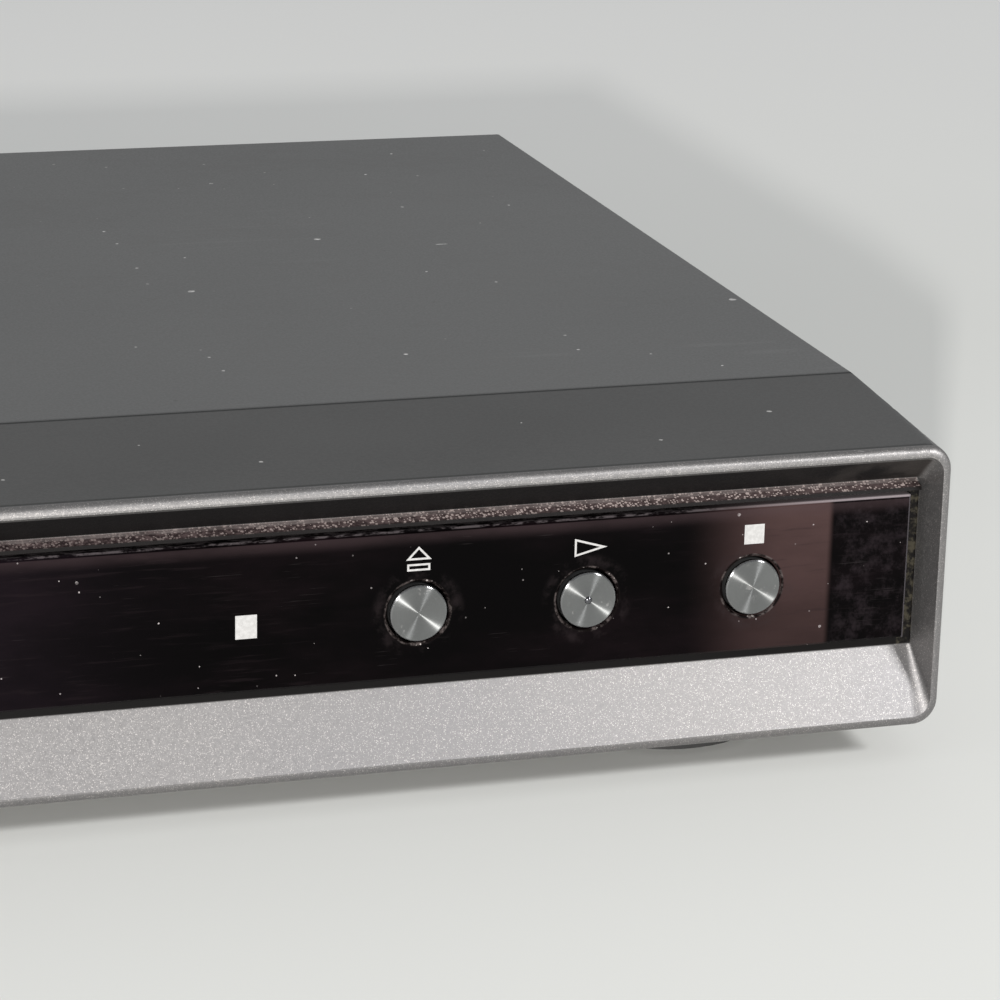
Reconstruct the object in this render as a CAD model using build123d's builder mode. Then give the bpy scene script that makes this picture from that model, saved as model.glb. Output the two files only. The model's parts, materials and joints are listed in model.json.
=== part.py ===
"""Slim full-width disc player with a motor-driven disc tray.

Frame: +X to the right as seen from the front, +Y to the back, +Z up, in millimetres.
The origin is on the surface that the player stands on, under the middle of its box.
The tray is shut, the pickup deck is lowered, and the pickup stands at the inner tracks.
"""

import os
from math import acos, asin, atan2, cos, degrees, pi, radians, sin, tan

from build123d import *

# ---------------------------------------------------------------- case
width = 430.0
body_height = 38.0
foot_height = 5.0
body_depth = 198.0
jack_projection = 8.0
sheet = 0.8
panel_top_depth = 33.5
panel_wall = 2.2

front_y = -(body_depth + jack_projection) / 2
rear_y = front_y + body_depth
base_z = foot_height
top_z = foot_height + body_height
floor_z = base_z + sheet
seam_y = front_y + panel_top_depth
case_gap = 0.3
cover_side_gap = 0.4
lip_length = 6.0
lip_thickness = 1.5
screw_radius = 1.5
screw_head_radius = 3.2

# ---------------------------------------------------------------- front face
rim_radius = 1.1
rim_corner_radius = 3.4
seam_corner_radius = 0.6
top_drop = 0.7
recess_depth = 4.5
opening_side = 1.3
opening_bottom = 1.3
opening_top = 2.0
floor_side = 2.7
floor_bottom = 9.85
floor_top = 5.9
face_y = front_y + 2.5
recess_y = front_y + recess_depth
panel_back_y = recess_y + panel_wall
window_low_z = base_z + 11.3
window_high_z = base_z + 30.4
bead_low_z = window_high_z + 0.6
bead_high_z = top_z - floor_top - 0.1
window_gap = 0.4
window_edge = 1.7
window_bevel = 0.35

# ---------------------------------------------------------------- buttons
button_radius = 3.6
button_bore_radius = 3.9
button_z = base_z + 19.9
button_proud = 0.5
button_travel = 0.6
cap_thickness = 0.5
button_flange_radius = 5.2
button_flange_thickness = 1.5
stem_radius = 1.5
stem_entry = 0.5
switch_side = 6.0
switch_depth = 3.5
button_x = {"eject": 146.1, "play": 167.8, "stop": 189.5, "power": -189.5}

# ---------------------------------------------------------------- front boards
board_thickness = 1.6
board_front_y = -88.2
board_back_y = board_front_y + board_thickness
board_low_z = 12.0
board_high_z = 38.0
display_x = 55.0
display_z = 26.0
display_length = 56.0
display_height = 14.0
sensor_x = 124.6
sensor_radius = 4.0
front_board_span = (17.0, 207.5)
switch_board_span = (-207.5, -141.0)
boss_radius = 3.0
front_bosses = [(x, z) for x in (21.0, 100.0, 203.0) for z in (17.0, 34.5)]
switch_bosses = [(x, z) for x in (-203.0, -146.0) for z in (17.0, 34.5)]

# ---------------------------------------------------------------- disc, tray and door
disc_x = -62.0
disc_y = -31.0
disc_radius = 60.0
small_disc_radius = 40.0
tray_half_width = 66.0
flange_half_width = 70.0
tray_low_z = 21.3
flange_high_z = 23.3
tray_high_z = 26.2
small_disc_z = 22.6
disc_z = 23.4
tray_rear_y = 58.0
slot_half_width = 18.0
door_half_width = 75.0
door_thickness = 1.7
door_back_y = face_y + door_thickness
door_low_x = disc_x - door_half_width
door_high_x = disc_x + door_half_width
mouth_lip = 2.0
mouth_side_gap = 1.5
bridge_low_z = disc_z + 1.4

# ---------------------------------------------------------------- loader frame
loader_front_y = -93.0
loader_rear_y = 68.0
plate_low_z = 9.0
plate_high_z = 11.0
wall_inner = 70.5
wall_outer = 72.5
rail_high_z = tray_low_z - 0.2
guide_gap = 0.3
wall_high_z = 25.6
tower_high_z = 30.5
running_gap = 0.05

tower_front_y = -50.0
tower_rear_y = -12.0
bridge_width = 8.0

# ---------------------------------------------------------------- loading gears
gear_module = 0.8
pressure_angle = radians(20.0)
backlash = 0.12
pinion_teeth = 20
wheel_teeth = 44
pulley_pinion_teeth = 14
gear_pin_radius = 1.5
rack_x = disc_x + 52.0
rack_depth = 3.0
rack_low_z = 18.2
rack_front_y = -80.0
loading_gear_x = rack_x - gear_module * pinion_teeth / 2
loading_gear_y = -73.5
wheel_low_z = 12.0
wheel_high_z = 15.0
pulley_low_z = 17.0
pulley_high_z = 20.0
pulley_radius = 11.0
motor_pulley_radius = 4.0
pulley_rim = 0.6
pulley_groove = 1.0
belt_thickness = 1.0
pulley_gear_x = loading_gear_x - gear_module * (wheel_teeth + pulley_pinion_teeth) / 2
pulley_gear_y = loading_gear_y
motor_x = -78.0
motor_y = -79.5
motor_radius = 11.5
motor_low_z = 7.6
motor_high_z = 15.5
motor_shaft_radius = 1.0

# ---------------------------------------------------------------- pickup deck
pivot_y = 58.0
pivot_z = 16.0
pivot_pin_radius = 1.5
pivot_ear_thickness = 3.5
pivot_ear_gap = 2.5
spindle_lift = 6.4
deck_angle = degrees(asin(spindle_lift / (pivot_y - disc_y)))
deck_low_z = 14.5
deck_high_z = 17.5
deck_front_y = -47.0
deck_rear_y = 62.0
deck_left = disc_x - 30.0
deck_right = disc_x + 36.0
deck_seat_z = 25.4
cam_y = -51.5
cam_pin_x = disc_x - 4.0
cam_pin_z = 17.6
cam_pin_radius = 1.2
cam_thickness = 2.0
cam_travel = 13.0
cam_slot_gap = 0.35
cam_low_z = 6.4
cam_high_z = 20.9
cam_flange_front_y = -62.0
cam_flange_high_z = 12.6
hook_top_z = 14.2
lug_depth = 3.2
cam_pin_reach = 0.5

# ---------------------------------------------------------------- pickup and its drive
shaft_radius = 1.2
shaft_z = 16.0
shaft_offset = 18.0
shaft_front_y = -15.0
shaft_rear_y = 51.0
pickup_front_y = -13.0
pickup_length = 29.0
pickup_travel = 33.0
lens_y = disc_y + 24.5
sled_module = 0.6
sled_pinion_teeth = 20
sled_wheel_teeth = 40
sled_motor_teeth = 12
sled_rack_x = disc_x + 23.0
sled_gear_x = sled_rack_x + sled_module * sled_pinion_teeth / 2
sled_gear_y = 8.0
sled_motor_y = sled_gear_y + sled_module * (sled_wheel_teeth + sled_motor_teeth) / 2
sled_low_z = 17.8
sled_mid_z = 19.3
sled_high_z = 20.8
sled_pin_radius = 1.0
sled_boss_radius = 2.0
sled_shaft_radius = 0.75
sled_motor_height = 5.5
sled_motor_radius = 6.0
pickup_low_z = 12.5
pickup_bush_radius = 2.9
lens_seat_z = 21.6
lens_well_depth = 1.2

# ---------------------------------------------------------------- spindle and turntable
spindle_radius = 1.0
spindle_plate_z = deck_high_z + 0.7
spindle_tube_z = spindle_plate_z + 2.6
bell_radius = 12.5
bell_wall = 1.0
bell_high_z = 22.0
turntable_radius = 13.0
turntable_thickness = 1.2
turntable_pad_thickness = 0.6
centring_radius = 7.4
centring_height = 1.9

# ---------------------------------------------------------------- clamper
bridge_thickness = 1.2
bridge_hole_radius = 12.0
clamp_gap = 0.3
clamp_radius = 16.0
clamp_low_z = 26.5
clamp_high_z = 29.0
clamp_neck_radius = 11.2
clamp_flange_radius = 14.0
magnet_radius = 9.5

# ---------------------------------------------------------------- circuit boards
board_z = 12.0
board_top_z = board_z + board_thickness
board_post_radius = 3.2
main_board_x = (20.0, 205.0)
main_board_y = (-58.0, 90.0)
power_board_x = (-205.0, -142.0)
power_board_y = (-52.0, 90.0)
ribbon_x = 60.0
ribbon_width = 24.0
ribbon_thickness = 0.3
# each chip or connector: its middle's x and y, its length, depth and height
processor = (95.0, 10.0, 24.0, 24.0, 2.2)
main_chips = [
    processor,
    (62.0, 14.0, 12.0, 22.0, 1.4),
    (62.0, -18.0, 18.0, 14.0, 2.4),
    (128.0, 16.0, 14.0, 20.0, 1.4),
    (40.0, 24.0, 10.0, 10.0, 4.5),
    (150.0, -40.0, 30.0, 6.0, 7.0),
    (34.0, -30.0, 6.0, 24.0, 6.0),
    (120.0, 62.0, 9.0, 6.0, 1.8),
    (150.0, 62.0, 9.0, 6.0, 1.8),
    (92.0, 62.0, 9.0, 6.0, 1.8),
]
# each capacitor: its x and y, its radius and height
main_cans = [
    (176.0, 30.0, 4.0, 9.0),
    (176.0, 44.0, 4.0, 9.0),
    (188.0, 10.0, 5.0, 12.0),
    (190.0, -20.0, 5.0, 12.0),
    (106.0, -30.0, 3.2, 7.0),
    (136.0, -14.0, 3.2, 7.0),
    (74.0, 48.0, 3.2, 7.0),
    (136.0, 48.0, 3.2, 7.0),
]
power_cans = [(-192.0, -22.0, 9.0, 25.0), (-155.0, 30.0, 5.0, 16.0), (-155.0, 46.0, 5.0, 16.0)]
sink_side = 22.0
sink_height = 10.0
sink_base = 2.0
sink_fins = 8
transformer_place = (-160.0, -8.0)
power_sink_place = (-192.0, 26.0)

# ---------------------------------------------------------------- back, sockets and feet
back_flange = 8.0
back_sheet_y = rear_y - 2 * sheet
jack_radius = 4.15
jack_wall = 0.8
jack_neck = 0.3
jack_z = 24.0
jack_pitch = 15.0
first_jack_x = 68.0
jack_count = 7
sockets_x = [first_jack_x + jack_pitch * i for i in range(jack_count)]
s_video_x = 48.0
s_video_radius = 4.7
inlet_x = -178.0
inlet_z = 22.0
inlet_length = 17.0
inlet_height = 9.0
inlet_wall = 1.2
foot_x = 185.0
foot_front_y = -80.0
foot_rear_y = 76.0
foot_radius = 14.0
foot_places = [(x, y) for x in (-foot_x, foot_x) for y in (foot_front_y, foot_rear_y)]
pad_radius = 10.0
pad_step = 0.8
pad_depth = 1.2


def save(part, name):
    """Labels a finished piece and writes it to its own file."""
    part.label = name
    export_step(part, f"parts/{name}.step")


def lowered(part):
    """A deck piece, modelled level as in play, turned down about the deck's pivot."""
    return part.rotate(Axis((0, pivot_y, pivot_z), (1, 0, 0)), deck_angle)


def involute(angle):
    """The involute function of a pressure angle."""
    return tan(angle) - angle


def gear_points(teeth, module, turn=0.0):
    """The outline of a spur gear with stub involute teeth; one tooth points along turn, in radians."""
    pitch_r = module * teeth / 2
    base_r = pitch_r * cos(pressure_angle)
    tip_r = pitch_r + 0.85 * module
    root_r = pitch_r - 1.1 * module
    half = pi / (2 * teeth) - backlash / (4 * pitch_r)
    flank = []
    for radius in (root_r, max(base_r, root_r + 0.01), pitch_r, tip_r):
        local = acos(min(1.0, base_r / max(radius, base_r)))
        flank.append((radius, half + involute(pressure_angle) - involute(local)))
    points = []
    for tooth in range(teeth):
        middle = turn + 2 * pi * tooth / teeth
        side = [(r, middle - a) for r, a in flank] + [(r, middle + a) for r, a in reversed(flank)]
        points += [(r * cos(a), r * sin(a)) for r, a in side]
    return points


def rack_points(start, end, module, phase):
    """A rack's outline along Y, its body on +X, with a tooth centred at phase; x = 0 is the pitch line."""
    pitch = pi * module
    tip, root = -0.85 * module, 1.1 * module
    half = pitch / 4 - backlash / 4
    first = int((start - phase) / pitch) + 1
    points = [(root, start)]
    centre = phase + (first - 1) * pitch
    while centre < end:
        centre += pitch
        if centre - pitch / 2 < start or centre + pitch / 2 > end:
            continue
        for x, side in ((root, -1), (tip, -1), (tip, 1), (root, 1)):
            points.append((x, centre + side * (half + x * tan(pressure_angle))))
    points += [(root, end), (root + 2.0, end), (root + 2.0, start)]
    return points


def front_plane(y):
    """A sketch plane at depth y seen from the front, with +X right and +Z up; it extrudes to the front."""
    return Plane(origin=(0, y, 0), x_dir=(1, 0, 0), z_dir=(0, -1, 0))


def block(low, high, mode=Mode.ADD):
    """A block between two opposite corners."""
    size = [b - a for a, b in zip(low, high)]
    with Locations(tuple((a + b) / 2 for a, b in zip(low, high))):
        Box(*size, mode=mode)


def post(x, y, low_z, high_z, radius, mode=Mode.ADD):
    """An upright round post or bore."""
    with Locations((x, y, (low_z + high_z) / 2)):
        Cylinder(radius, high_z - low_z, mode=mode)


def rod_along_y(x, z, low_y, high_y, radius, mode=Mode.ADD):
    """A round rod or bore lying from front to back."""
    with Locations((x, (low_y + high_y) / 2, z)):
        Cylinder(radius, high_y - low_y, rotation=(90, 0, 0), mode=mode)


def rod_along_x(y, z, low_x, high_x, radius, mode=Mode.ADD):
    """A round rod or bore lying from side to side."""
    with Locations(((low_x + high_x) / 2, y, z)):
        Cylinder(radius, high_x - low_x, rotation=(0, 90, 0), mode=mode)


# ================================================================ case
def make_front_panel():
    """The moulded front: a tapering shell whose face is a picture-frame recess with a deep chin."""
    front_height = body_height - top_drop
    inner_width = width - 2 * panel_wall
    middle_z = base_z + body_height / 2
    front_middle_z = base_z + front_height / 2
    with BuildPart() as panel:
        with BuildSketch(front_plane(seam_y)):
            with Locations((0, middle_z)):
                RectangleRounded(width, body_height, seam_corner_radius)
        with BuildSketch(front_plane(front_y)):
            with Locations((0, front_middle_z)):
                RectangleRounded(width, front_height, rim_corner_radius)
        loft()
        fillet(panel.edges().group_by(Axis.Y)[0], rim_radius)
        # the hollow behind the front wall
        with BuildSketch(front_plane(seam_y)):
            with Locations((0, middle_z)):
                Rectangle(inner_width, body_height - 2 * panel_wall)
        with BuildSketch(front_plane(panel_back_y)):
            with Locations((0, front_middle_z)):
                Rectangle(inner_width, front_height - 2 * panel_wall)
        loft(mode=Mode.SUBTRACT)
        # the recess, sloping from the rim down to its floor
        mouth_low = base_z + opening_bottom
        mouth_high = top_z - opening_top
        mouth_width = width - 2 * opening_side
        floor_low = base_z + floor_bottom
        floor_high = top_z - floor_top
        with BuildSketch(front_plane(front_y)):
            with Locations((0, (mouth_low + mouth_high) / 2)):
                RectangleRounded(mouth_width, mouth_high - mouth_low, rim_corner_radius - rim_radius)
        with BuildSketch(front_plane(recess_y)):
            with Locations((0, (floor_low + floor_high) / 2)):
                RectangleRounded(width - 2 * floor_side, floor_high - floor_low, seam_corner_radius)
        loft(mode=Mode.SUBTRACT)
        # the hollow that follows the sloping chin at one wall's thickness
        chin_run = recess_depth / (floor_low - mouth_low)
        chin_skin = panel_wall * (1 + chin_run**2) ** 0.5
        hollow_low = base_z + panel_wall
        hollow_high = floor_low - 2 * lip_thickness
        hollow_front = front_y + chin_skin + chin_run * (hollow_low - mouth_low)
        with BuildSketch(Plane.YZ.offset(-inner_width / 2)):
            with BuildLine():
                Polyline(
                    (panel_back_y, hollow_low),
                    (hollow_front, hollow_low),
                    (hollow_front + chin_run * (hollow_high - hollow_low), hollow_high),
                    (panel_back_y, hollow_high),
                    close=True,
                )
            make_face()
        extrude(amount=inner_width, mode=Mode.SUBTRACT)
        # the bead along the top of the window
        with BuildSketch(Plane.YZ.offset(floor_side + window_gap - width / 2)):
            with BuildLine():
                Polyline(
                    (recess_y, bead_low_z),
                    (face_y, bead_low_z),
                    (face_y + 0.2, bead_low_z + 0.4),
                    (recess_y, bead_high_z),
                    close=True,
                )
            make_face()
        extrude(amount=width - 2 * floor_side - 2 * window_gap)
        # openings for the tray and its rack, the display, the remote sensor and the buttons
        mouth_z = (window_low_z + window_high_z) / 2
        mouth_height = window_high_z - window_low_z - 2 * mouth_lip
        rack_notch_low = rack_low_z - running_gap - guide_gap
        with BuildSketch(front_plane(panel_back_y)):
            with Locations((disc_x, mouth_z)):
                Rectangle(2 * (flange_half_width + mouth_side_gap), mouth_height)
            with Locations((rack_x + rack_depth / 2, (rack_notch_low + mouth_z) / 2)):
                Rectangle(rack_depth + 4 * mouth_side_gap, mouth_z - rack_notch_low)
            with Locations((display_x, display_z)):
                Rectangle(display_length + 1, display_height + 1)
            with Locations((sensor_x, button_z)):
                Circle(sensor_radius)
            with Locations(*[(x, button_z) for x in button_x.values()]):
                Circle(button_bore_radius)
        extrude(amount=panel_wall + 1, mode=Mode.SUBTRACT)
        # the lip behind the seam, under the cover's front edge
        lip_z = floor_z + case_gap
        lip_low = base_z + 6
        lip_outer_x = width / 2 - sheet - case_gap
        with BuildSketch(front_plane(seam_y + lip_length)):
            with Locations((0, middle_z)):
                Rectangle(2 * lip_outer_x, 2 * (middle_z - lip_z))
                Rectangle(
                    inner_width - 2 * lip_thickness,
                    body_height - 2 * panel_wall - 2 * lip_thickness,
                    mode=Mode.SUBTRACT,
                )
            with Locations((0, lip_low / 2)):
                Rectangle(width, lip_low, mode=Mode.SUBTRACT)
        extrude(amount=lip_length + 3)
        # screw bosses for the boards behind the buttons
        with BuildSketch(front_plane(board_front_y)):
            with Locations(*front_bosses, *switch_bosses):
                Circle(boss_radius)
        extrude(amount=board_front_y - panel_back_y)
        with BuildSketch(front_plane(board_front_y)):
            with Locations(*front_bosses, *switch_bosses):
                Circle(screw_radius)
        extrude(amount=board_front_y - panel_back_y - 1, mode=Mode.SUBTRACT)
    return panel.part


def make_window(low_x, high_x, bores):
    """A strip of glossy window, bevelled round its face, with bores for the buttons."""
    with BuildPart() as window:
        with BuildSketch(front_plane(recess_y)):
            with Locations(((low_x + high_x) / 2, (window_low_z + window_high_z) / 2)):
                Rectangle(high_x - low_x, window_high_z - window_low_z)
        extrude(amount=recess_y - face_y)
        chamfer(window.faces().sort_by(Axis.Y)[0].edges(), window_bevel)
        with BuildSketch(front_plane(recess_y)):
            with Locations(*[(x, button_z) for x in bores]):
                Circle(button_bore_radius)
        extrude(amount=recess_y - face_y, mode=Mode.SUBTRACT)
        chamfer(window.edges().filter_by(GeomType.CIRCLE).group_by(Axis.Y)[0], 0.3)
    return window.part


side_screw_places = [(y, base_z + 8.0) for y in (-40.0, 68.0)]
back_screw_places = [(x, top_z - 5.0) for x in (-160.0, 0.0, 160.0)]


def make_top_cover():
    """The folded steel cover: a top, two sides and a narrow flange down over the back."""
    side_low = base_z + cover_side_gap
    flange_low = top_z - back_flange
    with BuildPart() as cover:
        with BuildSketch(front_plane(rear_y)):
            with BuildLine():
                Polyline(
                    (-width / 2, side_low),
                    (-width / 2, top_z),
                    (width / 2, top_z),
                    (width / 2, side_low),
                    (width / 2 - sheet, side_low),
                    (width / 2 - sheet, top_z - sheet),
                    (sheet - width / 2, top_z - sheet),
                    (sheet - width / 2, side_low),
                    close=True,
                )
            make_face()
        extrude(amount=rear_y - seam_y)
        fillet(cover.edges().filter_by(Axis.Y).group_by(Axis.Z)[-1], seam_corner_radius)
        block((sheet - width / 2, rear_y - sheet, flange_low), (width / 2 - sheet, rear_y, top_z - sheet))
        for y, z in side_screw_places:
            rod_along_x(y, z, -width / 2 - 1, width / 2 + 1, screw_head_radius + case_gap, Mode.SUBTRACT)
        for x, z in back_screw_places:
            rod_along_y(x, z, rear_y - sheet, rear_y, screw_radius + case_gap, Mode.SUBTRACT)
    return cover.part


board_posts = [(x, y) for x in (26.0, 112.0, 199.0) for y in (-50.0, 70.0)]
board_posts += [(x, y) for x in (-199.0, -148.0) for y in (-45.0, 70.0)]
loader_posts = [(disc_x + side * 66.0, y) for side in (-1, 1) for y in (-60.0, 62.0)]
front_tabs = (-185.0, 60.0, 185.0)


def make_chassis():
    """The folded steel base: a pan with side flanges, posts for the boards, and tabs for the front."""
    outer_x = width / 2 - sheet - case_gap
    flange_front = seam_y + lip_length + case_gap
    with BuildPart() as chassis:
        block((-outer_x, seam_y, base_z), (outer_x, rear_y, floor_z))
        for side in (-1, 1):
            inner = side * (outer_x - sheet)
            low_x, high_x = sorted((inner, side * outer_x))
            block((low_x, flange_front, base_z), (high_x, back_sheet_y, base_z + 14))
            for y, z in side_screw_places:
                rod_along_x(y, z, low_x, high_x, screw_radius, Mode.SUBTRACT)
        tab_low = base_z + panel_wall
        tab_high = tab_low + sheet
        for x in front_tabs:
            block((x - 8, seam_y, floor_z), (x + 8, seam_y + sheet, tab_high))
            block((x - 8, seam_y - 10, tab_low), (x + 8, seam_y + sheet, tab_high))
        for x, y in board_posts:
            post(x, y, floor_z, board_z, board_post_radius)
            post(x, y, floor_z, board_z, screw_radius, Mode.SUBTRACT)
        for x, y in loader_posts:
            post(x, y, floor_z, plate_low_z, 4.0)
            post(x, y, floor_z, plate_low_z, screw_radius, Mode.SUBTRACT)
        # cooling slots under the two boards
        with BuildSketch(Plane.XY.offset(base_z)):
            for x, y, columns, rows in ((112.0, 20.0, 12, 3), (-174.0, 18.0, 5, 3)):
                with Locations((x, y)):
                    with GridLocations(9.0, 26.0, columns, rows):
                        SlotOverall(20.0, 2.6, rotation=90)
        extrude(amount=sheet, mode=Mode.SUBTRACT)
    return chassis.part


def make_rear_panel():
    """The steel back, pierced for the sockets and the inlet, with a row of cooling slots."""
    edge_x = width / 2 - sheet - case_gap - sheet
    with BuildPart() as back:
        block((-edge_x, back_sheet_y, floor_z), (edge_x, back_sheet_y + sheet, top_z - sheet - case_gap))
        with BuildSketch(front_plane(back_sheet_y + sheet)):
            with Locations(*[(x, jack_z) for x in sockets_x]):
                Circle(jack_radius + case_gap)
            with Locations((s_video_x, jack_z)):
                Circle(s_video_radius + case_gap)
            with Locations((inlet_x, inlet_z)):
                SlotOverall(inlet_length + 2 * case_gap, inlet_height + 2 * case_gap)
            with Locations((-80.0, jack_z)):
                with GridLocations(6.0, 16.0, 14, 1):
                    SlotOverall(14.0, 2.4, rotation=90)
            with Locations(*back_screw_places):
                Circle(screw_radius)
        extrude(amount=sheet, mode=Mode.SUBTRACT)
    return back.part


def make_feet():
    """Four moulded feet, tapered to the floor, each hollowed for its pad."""
    with BuildPart() as feet:
        with BuildSketch(Plane.XY.offset(base_z)):
            with Locations(*foot_places):
                Circle(foot_radius)
        extrude(amount=-(base_z - pad_step), taper=8)
        with BuildSketch(Plane.XY.offset(pad_step)):
            with Locations(*foot_places):
                Circle(pad_radius + case_gap)
        extrude(amount=pad_depth, mode=Mode.SUBTRACT)
    return feet.part


def make_foot_pads():
    """The four pads that touch the floor."""
    with BuildPart() as pads:
        with BuildSketch(Plane.XY):
            with Locations(*foot_places):
                Circle(pad_radius)
        extrude(amount=pad_step + pad_depth)
        chamfer(pads.edges().group_by(Axis.Z)[0], 0.3)
    return pads.part


def make_case_screws():
    """Pan-head screws: two in each side of the cover and three in its back flange."""
    outer_x = width / 2 - sheet - case_gap
    with BuildPart() as screws:
        for y, z in side_screw_places:
            for side in (-1, 1):
                low_x, high_x = sorted((side * outer_x, side * width / 2))
                rod_along_x(y, z, low_x, high_x, screw_head_radius)
                low_x, high_x = sorted((side * (outer_x - 4), side * outer_x))
                rod_along_x(y, z, low_x, high_x, screw_radius - running_gap)
        for x, z in back_screw_places:
            rod_along_y(x, z, rear_y, rear_y + 1.2, screw_head_radius)
            rod_along_y(x, z, rear_y - 4, rear_y, screw_radius - running_gap)
        for x, z in back_screw_places:
            block((x - 2, rear_y + 0.7, z - 0.35), (x + 2, rear_y + 1.2, z + 0.35), Mode.SUBTRACT)
            block((x - 0.35, rear_y + 0.7, z - 2), (x + 0.35, rear_y + 1.2, z + 2), Mode.SUBTRACT)
    return screws.part


# ================================================================ front boards and buttons
def make_board(span, bosses):
    """An upright circuit board behind the front, screwed to the panel's bosses."""
    with BuildPart() as board:
        block((span[0], board_front_y, board_low_z), (span[1], board_back_y, board_high_z))
        for x, z in bosses:
            rod_along_y(x, z, board_front_y, board_back_y, screw_radius, Mode.SUBTRACT)
        chamfer(board.edges().filter_by(Axis.Y).group_by(Axis.X)[-1], 1.5)
    return board.part


def make_button_switches():
    """One push switch behind each button, with a well for the button's stem."""
    half = switch_side / 2
    face = board_front_y - switch_depth
    well_depth = stem_entry + button_travel + 0.5
    with BuildPart() as switches:
        for x in button_x.values():
            block((x - half, face, button_z - half), (x + half, board_front_y, button_z + half))
            rod_along_y(x, button_z, face, face + well_depth, stem_radius + 0.4, Mode.SUBTRACT)
    return switches.part


def make_button(x):
    """A round button on its stem, with the flange that keeps it behind the panel."""
    flange_front = panel_back_y + case_gap
    flange_back = flange_front + button_flange_thickness
    with BuildPart() as button:
        rod_along_y(x, button_z, face_y - button_proud + cap_thickness, flange_front, button_radius)
        rod_along_y(x, button_z, flange_front, flange_back, button_flange_radius)
        rod_along_y(x, button_z, flange_back, board_front_y - switch_depth + stem_entry, stem_radius)
    return button.part


def make_button_cap(x):
    """The metal cap pressed on a button, with its rounded edge."""
    with BuildPart() as cap:
        front = face_y - button_proud
        rod_along_y(x, button_z, front, front + cap_thickness, button_radius)
        fillet(cap.edges().filter_by(GeomType.CIRCLE).group_by(Axis.Y)[0], 0.25)
    return cap.part


def make_display_tube():
    """The glass display, with its sealed-off tip and the holder behind it."""
    low_x, high_x = display_x - display_length / 2, display_x + display_length / 2
    low_z, high_z = display_z - display_height / 2, display_z + display_height / 2
    with BuildPart() as tube:
        block((low_x, panel_back_y + 0.5, low_z), (high_x, board_front_y - 1.5, high_z))
        fillet(tube.edges().filter_by(Axis.Y), 0.8)
        block((low_x + 4, board_front_y - 1.5, low_z + 1), (high_x - 4, board_front_y, high_z - 1))
        rod_along_x(board_front_y - 4, display_z, high_x, high_x + 3, 1.2)
    return tube.part


def make_ir_receiver():
    """The remote-control receiver: a small moulding with a dome lens."""
    with BuildPart() as receiver:
        front = board_front_y - 4.5
        block((sensor_x - 3.5, front, button_z - 4), (sensor_x + 3.5, board_front_y, button_z + 4))
        with Locations((sensor_x, front, button_z)):
            Sphere(2.4)
    return receiver.part


# ================================================================ tray
def make_tray():
    """The disc tray: two stepped recesses, the pickup's slot, side runners and a rack underneath."""
    slab_front = door_back_y
    slab_middle = (slab_front + tray_rear_y) / 2
    rib = 2.0
    with BuildPart() as tray:
        with BuildSketch(Plane.XY.offset(tray_low_z)):
            with Locations((disc_x, slab_middle)):
                Rectangle(2 * tray_half_width, tray_rear_y - slab_front)
        extrude(amount=tray_high_z - tray_low_z)
        for side in (-1, 1):
            low_x, high_x = sorted((disc_x + side * tray_half_width, disc_x + side * flange_half_width))
            block((low_x, slab_front, tray_low_z), (high_x, tray_rear_y, flange_high_z))
        # the corners are thin-walled underneath, outside the round recess
        with BuildSketch(Plane.XY.offset(tray_low_z)):
            with Locations((disc_x, slab_middle)):
                Rectangle(2 * (tray_half_width - rib), tray_rear_y - slab_front - 2 * rib)
            with Locations((disc_x, disc_y)):
                Circle(disc_radius + 2.5 * rib, mode=Mode.SUBTRACT)
            with Locations((disc_x, tray_rear_y)):
                Rectangle(2 * (slot_half_width + rib), 120, mode=Mode.SUBTRACT)
            with Locations((rack_x + 1, slab_middle)):
                Rectangle(10, 200, mode=Mode.SUBTRACT)
        extrude(amount=tray_high_z - tray_low_z - 1.6, mode=Mode.SUBTRACT)
        # the recesses for a full-size and a small disc, and the finger notches at the recess's edge
        with BuildSketch(Plane.XY.offset(disc_z)):
            with Locations((disc_x, disc_y)):
                Circle(disc_radius + 0.7)
                with PolarLocations(disc_radius + 1, 4, 45):
                    Circle(9)
        extrude(amount=tray_high_z - disc_z, mode=Mode.SUBTRACT)
        with BuildSketch(Plane.XY.offset(small_disc_z)):
            with Locations((disc_x, disc_y)):
                Circle(small_disc_radius + 0.7)
        extrude(amount=disc_z - small_disc_z, mode=Mode.SUBTRACT)
        # the turntable's hole runs back as the pickup's slot, bridged only at the very back
        with BuildSketch(Plane.XY.offset(tray_low_z)):
            with Locations((disc_x, disc_y)):
                Circle(slot_half_width)
            with Locations((disc_x, (disc_y + tray_rear_y) / 2)):
                Rectangle(2 * slot_half_width, tray_rear_y - disc_y)
        extrude(amount=bridge_low_z - tray_low_z, mode=Mode.SUBTRACT)
        with BuildSketch(Plane.XY.offset(bridge_low_z)):
            with Locations((disc_x, disc_y)):
                Circle(slot_half_width)
            with Locations((disc_x, (disc_y + tray_rear_y - bridge_width) / 2)):
                Rectangle(2 * slot_half_width, tray_rear_y - bridge_width - disc_y)
        extrude(amount=tray_high_z - bridge_low_z, mode=Mode.SUBTRACT)
        # the rack, with its body on the far side from the loading gear
        with BuildSketch(Plane.XY.offset(rack_low_z)):
            with BuildLine():
                points = rack_points(rack_front_y, tray_rear_y, gear_module, loading_gear_y)
                Polyline(*[(rack_x + x, y) for x, y in points], close=True)
            make_face()
        extrude(amount=tray_low_z - rack_low_z)
        fillet(tray.edges().filter_by(GeomType.CIRCLE).group_by(Axis.Z)[-1], 0.5)
    return tray.part


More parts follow.
